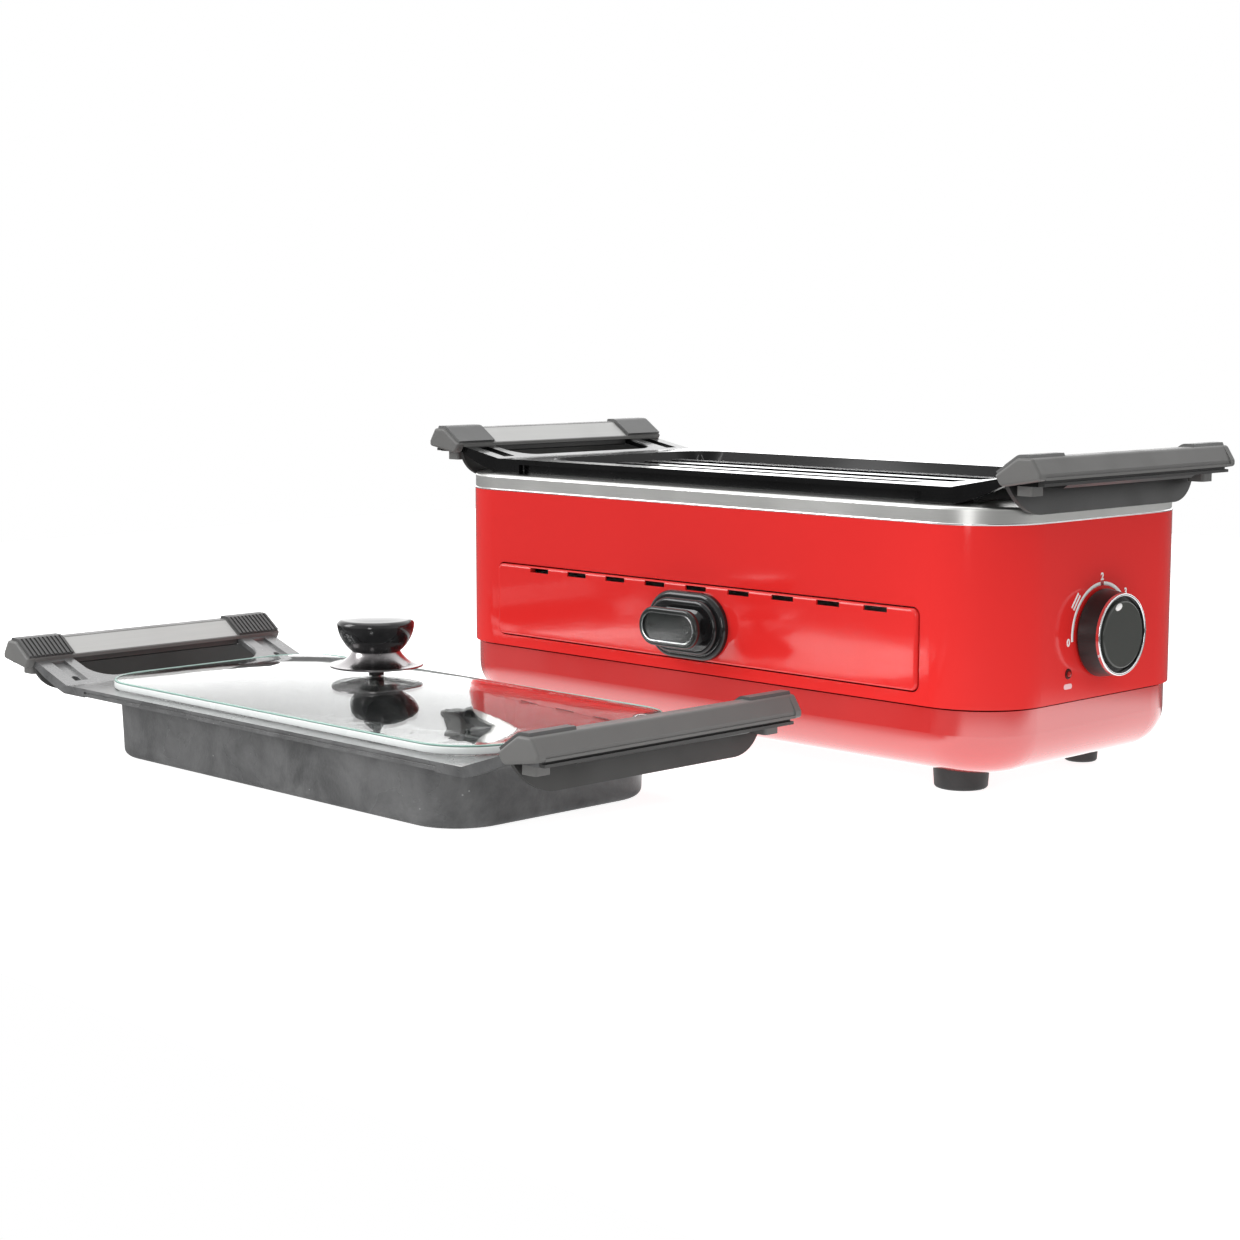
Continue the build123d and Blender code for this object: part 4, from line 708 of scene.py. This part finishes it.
finishes = {
    "enamel": enamel(),
    "tub": tubGloss(),
    "band": bandSteel(),
    "liner": sheetSteel("linerSteel", (0.44, 0.42, 0.40), (0.60, 0.58, 0.56)),
    "tray": sheetSteel("traySteel", (0.66, 0.66, 0.65), (0.80, 0.80, 0.79), (0.46, 0.60)),
    "runner": sheetSteel("runnerSteel", (0.46, 0.46, 0.46), (0.58, 0.58, 0.57)),
    "element": elementTube(),
    "plate": plateCoat(),
    "pan": panCoat(),
    "grip": gripPlastic(),
    "silver": gripSilver(),
    "plateCap": capPlastic("plateCapPlastic", (0.105, 0.106, 0.105), (0.130, 0.131, 0.130)),
    "panCap": capPlastic("panCapPlastic", (0.060, 0.060, 0.060), (0.082, 0.082, 0.081)),
    "plateGuard": guardPlastic("plateGuardPlastic", (0.020, 0.020, 0.020), (0.030, 0.030, 0.029)),
    "panGuard": guardPlastic("panGuardPlastic", (0.036, 0.036, 0.035), (0.050, 0.050, 0.048)),
    "dial": blackGloss("dialBlack", (0.010, 0.0095, 0.0095), (0.016, 0.015, 0.015), (0.28, 0.40)),
    "dialFace": blackGloss("dialFace", (0.048, 0.051, 0.047), (0.058, 0.061, 0.056), (0.08, 0.16)),
    "pull": blackGloss("pullBlack", (0.008, 0.008, 0.0085), (0.014, 0.014, 0.0145), (0.09, 0.16)),
    "pullFace": blackGloss("pullFace", (0.013, 0.015, 0.014), (0.020, 0.022, 0.021), (0.08, 0.18)),
    "knob": blackGloss("knobBlack", (0.012, 0.012, 0.013), (0.020, 0.020, 0.021), (0.05, 0.12)),
    "chrome": chrome("brightChrome", (0.86, 0.87, 0.88)),
    "pullChrome": chrome("pullChrome", (0.46, 0.47, 0.47)),
    "skirt": skirtSteel(),
    "rubber": rubber("footRubber"),
    "seal": rubber("sealRubber"),
    "screw": smallMetal("screwSteel", (0.50, 0.50, 0.49), (0.62, 0.62, 0.61)),
    "shaft": smallMetal("shaftSteel", (0.55, 0.55, 0.55), (0.66, 0.66, 0.66)),
    "brass": smallMetal("pinBrass", (0.62, 0.47, 0.20), (0.74, 0.60, 0.30)),
    "ceramic": paleMoulding("bushCeramic", (0.66, 0.63, 0.56), (0.76, 0.73, 0.66)),
    "control": paleMoulding("controlBody", (0.56, 0.53, 0.44), (0.66, 0.63, 0.54)),
    "terminal": paleMoulding("terminalWhite", (0.66, 0.66, 0.62), (0.76, 0.76, 0.72)),
    "inlet": paleMoulding("inletBlack", (0.020, 0.020, 0.021), (0.034, 0.034, 0.035)),
    "lampRing": lensRed("lampRing", (0.045, 0.004, 0.004), (0.080, 0.007, 0.007)),
    "lens": lensRed("lensRed", (0.30, 0.010, 0.008), (0.42, 0.016, 0.012)),
    "glass": lidGlass(),
    "glassEdge": groundGlass("lidGroundEdge", (0.84, 0.87, 0.86), (0.90, 0.93, 0.92), (0.20, 0.34)),
    "glassLine": groundGlass("lidGreenLine", (0.27, 0.45, 0.395), (0.33, 0.52, 0.46), (0.10, 0.22)),
    "whiteInk": printInk("whiteInk", (0.86, 0.85, 0.84)),
    "pinkInk": printInk("pinkInk", (0.80, 0.50, 0.52)),
    "redInk": printInk("redInk", (0.34, 0.008, 0.008)),
    # painted shade: a near-black tone for the flat crosses that stand for the screws' driver
    # recesses
    "recessShadePaint": printInk("recessShadePaint", (0.010, 0.010, 0.010)),
}
print("stage:", len(finishes), "finishes")

# which finish each carried-over solid wears
wears = {
    "upper_shell": "enamel", "drawer_front": "enamel", "base_tub": "tub", "steel_band": "band",
    "heat_liner": "liner", "element_clips": "liner", "drawer_tray": "tray",
    "drawer_runner_left": "runner", "drawer_runner_right": "runner", "heating_element": "element",
    "element_bushes": "ceramic", "thermostat": "control", "thermostat_nut": "screw",
    "terminal_block": "terminal", "indicator_lamp": "lampRing", "power_inlet": "inlet",
    "inlet_pins": "brass", "foot_front_left": "rubber", "foot_front_right": "rubber",
    "foot_rear_left": "rubber", "foot_rear_right": "rubber", "foot_screws": "screw",
    "pull_base": "pull", "pull_grip": "pullFace", "pull_ring": "pullChrome", "pull_screws": "screw",
    "dial_knob": "dial", "dial_ring": "chrome", "dial_cap": "dialFace", "dial_shaft": "shaft",
    "grill_plate": "plate", "plate_grip_feet": "grip", "plate_grip_screws": "screw",
    "pan": "pan", "pan_grip_feet": "grip", "pan_grip_screws": "screw", "lid_glass": "glass",
    "lid_spacer": "seal", "lid_knob_skirt": "skirt", "lid_knob": "knob",
    "lid_washer": "seal", "lid_screw": "screw",
}
for owner in ("plate", "pan"):
    for side in ("left", "right"):
        wears[f"{owner}_{side}_grip_shell"] = "grip"
        wears[f"{owner}_{side}_grip_insert"] = "silver"
        wears[f"{owner}_{side}_grip_caps"] = f"{owner}Cap"
        wears[f"{owner}_{side}_grip_guard"] = f"{owner}Guard"
for node, finish in wears.items():
    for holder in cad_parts[node].material_slots:
        holder.material = finishes[finish]
print("stage: finishes on", len(wears), "solids")


# geometry nodes: small helpers shared by the trees below
def newTree(name, inputs):
    tree = bpy.data.node_groups.new(name, "GeometryNodeTree")
    tree.interface.new_socket(name="Geometry", in_out="INPUT", socket_type="NodeSocketGeometry")
    for label, kind, value in inputs:
        socket = tree.interface.new_socket(name=label, in_out="INPUT", socket_type=kind)
        if value is not None:
            socket.default_value = value
    tree.interface.new_socket(name="Geometry", in_out="OUTPUT", socket_type="NodeSocketGeometry")
    return tree, tree.nodes.new("NodeGroupInput"), tree.nodes.new("NodeGroupOutput")


def finishTree(tree, start, end, geometry):
    # every tree ends in Realize Instances and Set Material
    real = addNode(tree, "GeometryNodeRealizeInstances")
    paint = addNode(tree, "GeometryNodeSetMaterial")
    tree.links.new(geometry, real.inputs["Geometry"])
    wire(tree, [
        (real, "Geometry", paint, "Geometry"),
        (start, "Finish", paint, "Material"),
        (paint, "Geometry", end, "Geometry"),
    ])


def addPiece(name, mesh, body, finish=None):
    # a plain mesh at the origin that rides on a body
    if finish is not None:
        mesh.materials.clear()
        mesh.materials.append(finish)
    piece = addObject(name, mesh)
    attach(piece, body)


def growPiece(name, tree, values, body, points=((0, 0, 0),)):
    # runs a tree on a carrier of loose points and keeps the plain mesh, which rides on a body
    carrier = bpy.data.meshes.new(name)
    carrier.from_pydata([tuple(point) for point in points], [], [])
    maker = addObject(name, carrier)
    modifier = maker.modifiers.new(tree.name, "NODES")
    modifier.node_group = tree
    for item in tree.interface.items_tree:
        if item.item_type == "SOCKET" and item.in_out == "INPUT" and item.name in values:
            modifier[item.identifier] = values[item.name]
    bakePiece(maker, name, body)


def bakePiece(maker, name, body, finish=None):
    # turns an evaluated object into a piece of its own
    bpy.context.view_layer.update()
    graph = bpy.context.evaluated_depsgraph_get()
    mesh = bpy.data.meshes.new_from_object(maker.evaluated_get(graph))
    mesh.transform(maker.matrix_world)
    mesh.name = name
    bpy.data.objects.remove(maker)
    addPiece(name, mesh, body, finish)


def makeFrameBead():
    # a bead that runs round a level rounded rectangle: a lip, a bright bead that stands in for a
    # highlight line, or a worked glass edge
    tree, start, end = newTree("frameBead", [
        ("Length", number, 0.3), ("Depth", number, 0.2), ("Corner", number, 0.02),
        ("Wide", number, 0.001), ("High", number, 0.001), ("Place", arrow, (0, 0, 0)),
        ("Finish", "NodeSocketMaterial", None),
    ])
    outline = addNode(tree, "GeometryNodeCurvePrimitiveQuadrilateral")
    rounded = addNode(tree, "GeometryNodeFilletCurve", {"Count": 18}, mode="POLY")
    ring = addNode(tree, "GeometryNodeCurvePrimitiveCircle", {"Resolution": 12, "Radius": 0.5})
    squeeze = addNode(tree, "GeometryNodeTransform")
    size = addNode(tree, "ShaderNodeCombineXYZ", {"Z": 1.0})
    sweep = addNode(tree, "GeometryNodeCurveToMesh")
    smooth = addNode(tree, "GeometryNodeSetShadeSmooth")
    move = addNode(tree, "GeometryNodeTransform")
    wire(tree, [
        (start, "Length", outline, "Width"),
        (start, "Depth", outline, "Height"),
        (outline, "Curve", rounded, "Curve"),
        (start, "Corner", rounded, "Radius"),
        (start, "Wide", size, "X"),
        (start, "High", size, "Y"),
        (ring, "Curve", squeeze, "Geometry"),
        (size, "Vector", squeeze, "Scale"),
        (rounded, "Curve", sweep, "Curve"),
        (squeeze, "Geometry", sweep, "Profile Curve"),
        (sweep, "Mesh", smooth, "Geometry"),
        (smooth, "Geometry", move, "Geometry"),
        (start, "Place", move, "Translation"),
    ])
    finishTree(tree, start, end, move.outputs["Geometry"])
    return tree


def makeDriverCross():
    # a flat cross, a little proud, on each carrier point, turned to the head's face: it stands for
    # a driver recess, and its dark finish is painted shade in place of the hollow
    tree, start, end = newTree("driverCross", [
        ("Reach", number, 0.003), ("Slot", number, 0.0007), ("Proud", number, 0.0001),
        ("Turn", arrow, (0, 0, 0)), ("Finish", "NodeSocketMaterial", None),
    ])
    join = addNode(tree, "GeometryNodeJoinGeometry")
    for first, second in (("Reach", "Slot"), ("Slot", "Reach")):
        bar = addNode(tree, "GeometryNodeMeshCube")
        size = addNode(tree, "ShaderNodeCombineXYZ")
        wire(tree, [
            (start, first, size, "X"),
            (start, second, size, "Y"),
            (start, "Proud", size, "Z"),
            (size, "Vector", bar, "Size"),
            (bar, "Mesh", join, "Geometry"),
        ])
    spread = addNode(tree, "GeometryNodeInstanceOnPoints")
    wire(tree, [
        (start, "Geometry", spread, "Points"),
        (join, "Geometry", spread, "Instance"),
        (start, "Turn", spread, "Rotation"),
    ])
    finishTree(tree, start, end, spread.outputs["Instances"])
    return tree


def makePrintArc():
    # a printed arc on the right end wall, drawn clockwise from the top as seen from in front
    tree, start, end = newTree("printArc", [
        ("Radius", number, 0.02), ("Start", number, 0.0), ("Sweep", number, 1.0),
        ("Wide", number, 0.001), ("Thick", number, 0.0001), ("Place", arrow, (0, 0, 0)),
        ("Finish", "NodeSocketMaterial", None),
    ])
    arc = addNode(tree, "GeometryNodeCurveArc", {"Resolution": 72}, mode="RADIUS")
    strip = addNode(tree, "GeometryNodeCurvePrimitiveQuadrilateral")
    sweep = addNode(tree, "GeometryNodeCurveToMesh", {"Fill Caps": True})
    move = addNode(tree, "GeometryNodeTransform", {
        "Rotation": (math.radians(90), 0, math.radians(90)),
    })
    wire(tree, [
        (start, "Radius", arc, "Radius"),
        (start, "Start", arc, "Start Angle"),
        (start, "Sweep", arc, "Sweep Angle"),
        (start, "Wide", strip, "Width"),
        (start, "Thick", strip, "Height"),
        (arc, "Curve", sweep, "Curve"),
        (strip, "Curve", sweep, "Profile Curve"),
        (sweep, "Mesh", move, "Geometry"),
        (start, "Place", move, "Translation"),
    ])
    finishTree(tree, start, end, move.outputs["Geometry"])
    return tree


frameBead = makeFrameBead()
driverCross = makeDriverCross()
printArc = makePrintArc()
print("stage: node trees for beads, driver recesses and print")

# printed scale round the dial, its bars and marks
dialScale = {
    "radius": 23.4, "width": 1.7, "thick": 0.12, "sunk": 0.02,
    "first": -96.0, "last": 126.0, "gap": 3.4,
    "numberRadius": 26.6, "numberSize": 4.9, "numberBold": 0.18,
    "numbers": [(-96.0, "0"), (0.0, "2"), (48.0, "3"), (96.0, "4")],
    "barAngle": -52.0, "barRadii": (25.7, 27.6), "barLength": 8.3, "barWidth": 1.0,
    "zeroRadius": 23.6, "zeroSize": 2.2, "zeroShare": 0.7,
    "pill": {"below": 6.0, "long": 6.5, "high": 2.5, "steps": 10},
}
dialLow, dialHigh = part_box("dial_knob")
dialMiddle = (dialLow + dialHigh) / 2
dialCentre = Vector((shellHigh.x, dialMiddle.y, dialMiddle.z))


def onDialWall(right, up, out):
    # a place on the right end wall: millimetres to the back, up, and out of the wall
    return dialCentre + Vector((out, right, up)) * millimetre


def clockPlace(degrees, radius):
    # clockwise from the top, seen from in front of the dial
    turn = math.radians(degrees)
    return radius * math.sin(turn), radius * math.cos(turn)


def printScaleArc(name, first, last, radius, width, finish):
    growPiece(name, printArc, {
        "Radius": radius * millimetre,
        "Start": math.radians(90 - last),
        "Sweep": math.radians(last - first),
        "Wide": width * millimetre,
        "Thick": dialScale["thick"] * millimetre,
        "Place": tuple(onDialWall(0, 0, dialScale["thick"] / 2)),
        "Finish": finish,
    }, "housing")


def wallOutline(name, corners, finish):
    # a flat printed shape on the right end wall from its corners in millimetres round the dial
    count = len(corners)
    back = [onDialWall(right, up, -dialScale["sunk"]) for right, up in corners]
    front = [onDialWall(right, up, dialScale["thick"]) for right, up in corners]
    faces = [tuple(range(count, 2 * count)), tuple(reversed(range(count)))]
    faces += [(n, (n + 1) % count, count + (n + 1) % count, count + n) for n in range(count)]
    mesh = bpy.data.meshes.new(name)
    mesh.from_pydata([tuple(point) for point in back + front], [], faces)
    addPiece(name, mesh, "housing", finish)


def tangentBar(name, degrees, radius, length, width, finish):
    # a short straight bar that lies along the dial's edge
    turn = math.radians(degrees)
    outward = Vector((math.sin(turn), math.cos(turn)))
    along = Vector((math.cos(turn), -math.sin(turn)))
    middle = outward * radius
    corners = [middle + along * a * length / 2 + outward * b * width / 2
               for a, b in ((-1, 1), (-1, -1), (1, -1), (1, 1))]
    wallOutline(name, [tuple(corner) for corner in corners], finish)


def pillCorners(middleRight, middleUp, pill):
    # a bar with round ends
    half = pill["high"] / 2
    reach = pill["long"] / 2 - half
    steps = pill["steps"]
    corners = []
    for side, begin in ((1, -90), (-1, 90)):
        for step in range(steps + 1):
            turn = math.radians(begin + 180 * step / steps)
            corners.append((middleRight + side * reach + half * math.cos(turn),
                            middleUp + half * math.sin(turn)))
    return corners


def printNumber(name, text, degrees):
    curve = bpy.data.curves.new(name, "FONT")
    curve.body = text
    curve.size = dialScale["numberSize"] * millimetre
    curve.align_x = "CENTER"
    curve.align_y = "CENTER"
    curve.extrude = dialScale["thick"] / 2 * millimetre
    curve.offset = dialScale["numberBold"] * millimetre
    curve.resolution_u = 4
    maker = addObject(name, curve)
    right, up = clockPlace(degrees, dialScale["numberRadius"])
    place = Matrix.Translation(onDialWall(right, up, dialScale["thick"] / 2))
    facingRight = Matrix(((0, 0, 1, 0), (1, 0, 0, 0), (0, 1, 0, 0), (0, 0, 0, 1)))
    maker.matrix_world = place @ facingRight
    bakePiece(maker, name, "housing", finishes["whiteInk"])


def printScale():
    ink = finishes["whiteInk"]
    gap = dialScale["gap"]
    radius, width = dialScale["radius"], dialScale["width"]
    printScaleArc("scaleArcLeft", dialScale["first"], -gap, radius, width, ink)
    printScaleArc("scaleArcRight", gap, dialScale["last"], radius, width, ink)
    zero = gap * dialScale["zeroShare"]
    printScaleArc("scaleZeroMark", -zero, zero, dialScale["zeroRadius"], dialScale["zeroSize"],
                  finishes["redInk"])
    for n, barRadius in enumerate(dialScale["barRadii"]):
        tangentBar(f"scaleBar{n + 1}", dialScale["barAngle"], barRadius, dialScale["barLength"],
                   dialScale["barWidth"], ink)
    for degrees, text in dialScale["numbers"]:
        printNumber(f"scaleNumber{text}", text, degrees)
    lampLow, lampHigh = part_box("indicator_lamp")
    lampMiddle = (lampLow + lampHigh) / 2
    pill = dialScale["pill"]
    right = (lampMiddle.y - dialMiddle.y) / millimetre
    up = (lampMiddle.z - dialMiddle.z) / millimetre - pill["below"]
    wallOutline("lampMark", pillCorners(right, up, pill), finishes["pinkInk"])


printScale()
print("stage: dial scale")

# a raised white bead on the dial's cap that points at the scale
pointerBead = {
    "angle": -19.0, "radius": 14.3, "long": 5.4, "wide": 3.2, "high": 0.9, "rings": 5, "steps": 20,
}


def domeMesh(name, place, alongAxis, acrossAxis, values):
    # a low pillow on the right end: rings of an ellipse that close into a dome, with a flat back
    long, wide, high = (values[label] * millimetre for label in ("long", "wide", "high"))
    rings, steps = values["rings"], values["steps"]
    outAxis = Vector((1, 0, 0))
    points = []
    for ring in range(rings):
        rise = math.radians(90 * ring / rings)
        for step in range(steps):
            turn = 2 * math.pi * step / steps
            points.append(place
                          + alongAxis * (long / 2 * math.cos(rise) * math.cos(turn))
                          + acrossAxis * (wide / 2 * math.cos(rise) * math.sin(turn))
                          + outAxis * (high * math.sin(rise)))
    points.append(place + outAxis * high)
    faces = [tuple(reversed(range(steps)))]
    for ring in range(rings - 1):
        for step in range(steps):
            a = ring * steps + step
            b = ring * steps + (step + 1) % steps
            faces.append((a, b, b + steps, a + steps))
    last = (rings - 1) * steps
    for step in range(steps):
        faces.append((last + step, last + (step + 1) % steps, len(points) - 1))
    mesh = bpy.data.meshes.new(name)
    mesh.from_pydata([tuple(point) for point in points], [], faces)
    for polygon in mesh.polygons:
        polygon.use_smooth = polygon.index > 0
    return mesh


def addPointerBead():
    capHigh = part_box("dial_cap")[1]
    right, up = clockPlace(pointerBead["angle"], pointerBead["radius"])
    place = onDialWall(right, up, 0)
    place.x = capHigh.x
    turn = math.radians(pointerBead["angle"])
    across = Vector((0, math.sin(turn), math.cos(turn)))
    along = Vector((0, math.cos(turn), -math.sin(turn)))
    mesh = domeMesh("pointerBead", place, along, across, pointerBead)
    addPiece("pointerBead", mesh, "dial", finishes["whiteInk"])


addPointerBead()

# the lamp's small red lens, set in the dark red ring
lampLens = {"long": 2.9, "wide": 2.9, "high": 0.7, "rings": 5, "steps": 24}


def addLampLens():
    lampLow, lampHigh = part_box("indicator_lamp")
    place = Vector((lampHigh.x, (lampLow.y + lampHigh.y) / 2, (lampLow.z + lampHigh.z) / 2))
    mesh = domeMesh("lampLens", place, Vector((0, 1, 0)), Vector((0, 0, 1)), lampLens)
    addPiece("lampLens", mesh, "housing", finishes["lens"])


addLampLens()
print("stage: pointer and lamp")

# the worked edge of the glass lid: a pale ground band with a green line above it
lidEdge = {
    "corner": 30.0, "thick": 3.8, "bandHigh": 3.3, "bandWide": 0.5, "bandLevel": 0.45,
    "lineWide": 1.2, "lineHigh": 0.9, "lineInset": 0.5,
}


def addLidEdge():
    low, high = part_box("lid_glass")
    length, depth = high.x - low.x, high.y - low.y
    middle = (low + high) / 2
    inset = lidEdge["lineInset"] * millimetre
    corner = lidEdge["corner"] * millimetre
    thick = lidEdge["thick"] * millimetre
    growPiece("lidGroundEdge", frameBead, {
        "Length": length, "Depth": depth, "Corner": corner,
        "Wide": lidEdge["bandWide"] * millimetre, "High": lidEdge["bandHigh"] * millimetre,
        "Place": (middle.x, middle.y, low.z + thick * lidEdge["bandLevel"]),
        "Finish": finishes["glassEdge"],
    }, "lid")
    growPiece("lidGreenLine", frameBead, {
        "Length": length - 2 * inset, "Depth": depth - 2 * inset, "Corner": corner - inset,
        "Wide": lidEdge["lineWide"] * millimetre, "High": lidEdge["lineHigh"] * millimetre,
        "Place": (middle.x, middle.y, low.z + thick), "Finish": finishes["glassLine"],
    }, "lid")


addLidEdge()
print("stage: lid edge")

# a painted highlight: a bright chrome bead at the foot of the steel band, standing in for the
# highlight line along the gap there
bandGapHighlight = {"wide": 0.7, "high": 0.9, "corner": 37.0, "lift": 0.5, "inset": 0.1}


def addBandGapHighlight():
    inset = bandGapHighlight["inset"] * millimetre
    shellSize = shellHigh - shellLow
    growPiece("bandGapHighlight", frameBead, {
        "Length": shellSize.x - 2 * inset, "Depth": shellSize.y - 2 * inset,
        "Corner": bandGapHighlight["corner"] * millimetre,
        "Wide": bandGapHighlight["wide"] * millimetre, "High": bandGapHighlight["high"] * millimetre,
        "Place": (unitMiddle.x, unitMiddle.y, shellHigh.z + bandGapHighlight["lift"] * millimetre),
        "Finish": finishes["chrome"],
    }, "housing")


addBandGapHighlight()
print("stage: band edge")

# driver recesses in the screw heads as painted shade: flat near-black crosses, one mesh for each
# body
driverMarks = {"spread": 9.0, "proud": 0.12, "slot": 0.16, "reach": 0.62}


def screwHeads(node):
    # the box round each cluster of a node's points, one for each screw
    spread = driverMarks["spread"] * millimetre
    groups = []
    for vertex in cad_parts[node].data.vertices:
        spot = vertex.co
        for group in groups:
            if abs(group[0].x - spot.x) < spread and abs(group[0].y - spot.y) < spread:
                group.append(spot.copy())
                break
        else:
            groups.append([spot.copy()])
    return [(Vector(map(min, zip(*group))), Vector(map(max, zip(*group)))) for group in groups]


def addDriverMarks(name, node, body, facing):
    places = []
    wide = 0.0
    for low, high in screwHeads(node):
        middle = (low + high) / 2
        if facing == "down":
            places.append((middle.x, middle.y, low.z))
        else:
            places.append((middle.x, high.y, middle.z))
        wide = max(wide, high.x - low.x)
    turn = (0.0, 0.0, 0.0) if facing == "down" else (math.radians(90), 0.0, 0.0)
    growPiece(name, driverCross, {
        "Reach": driverMarks["reach"] * wide, "Slot": driverMarks["slot"] * wide,
        "Proud": driverMarks["proud"] * millimetre, "Turn": turn, "Finish": finishes["recessShadePaint"],
    }, body, places)
    print("driver recesses:", name, len(places))


addDriverMarks("footScrewRecessShade", "foot_screws", "housing", "down")
addDriverMarks("plateScrewRecessShade", "plate_grip_screws", "plate", "down")
addDriverMarks("panScrewRecessShade", "pan_grip_screws", "deep_pan", "down")
addDriverMarks("lidScrewRecessShade", "lid_screw", "lid", "down")
addDriverMarks("pullScrewRecessShade", "pull_screws", "drawer", "back")
print("stage: driver recesses")
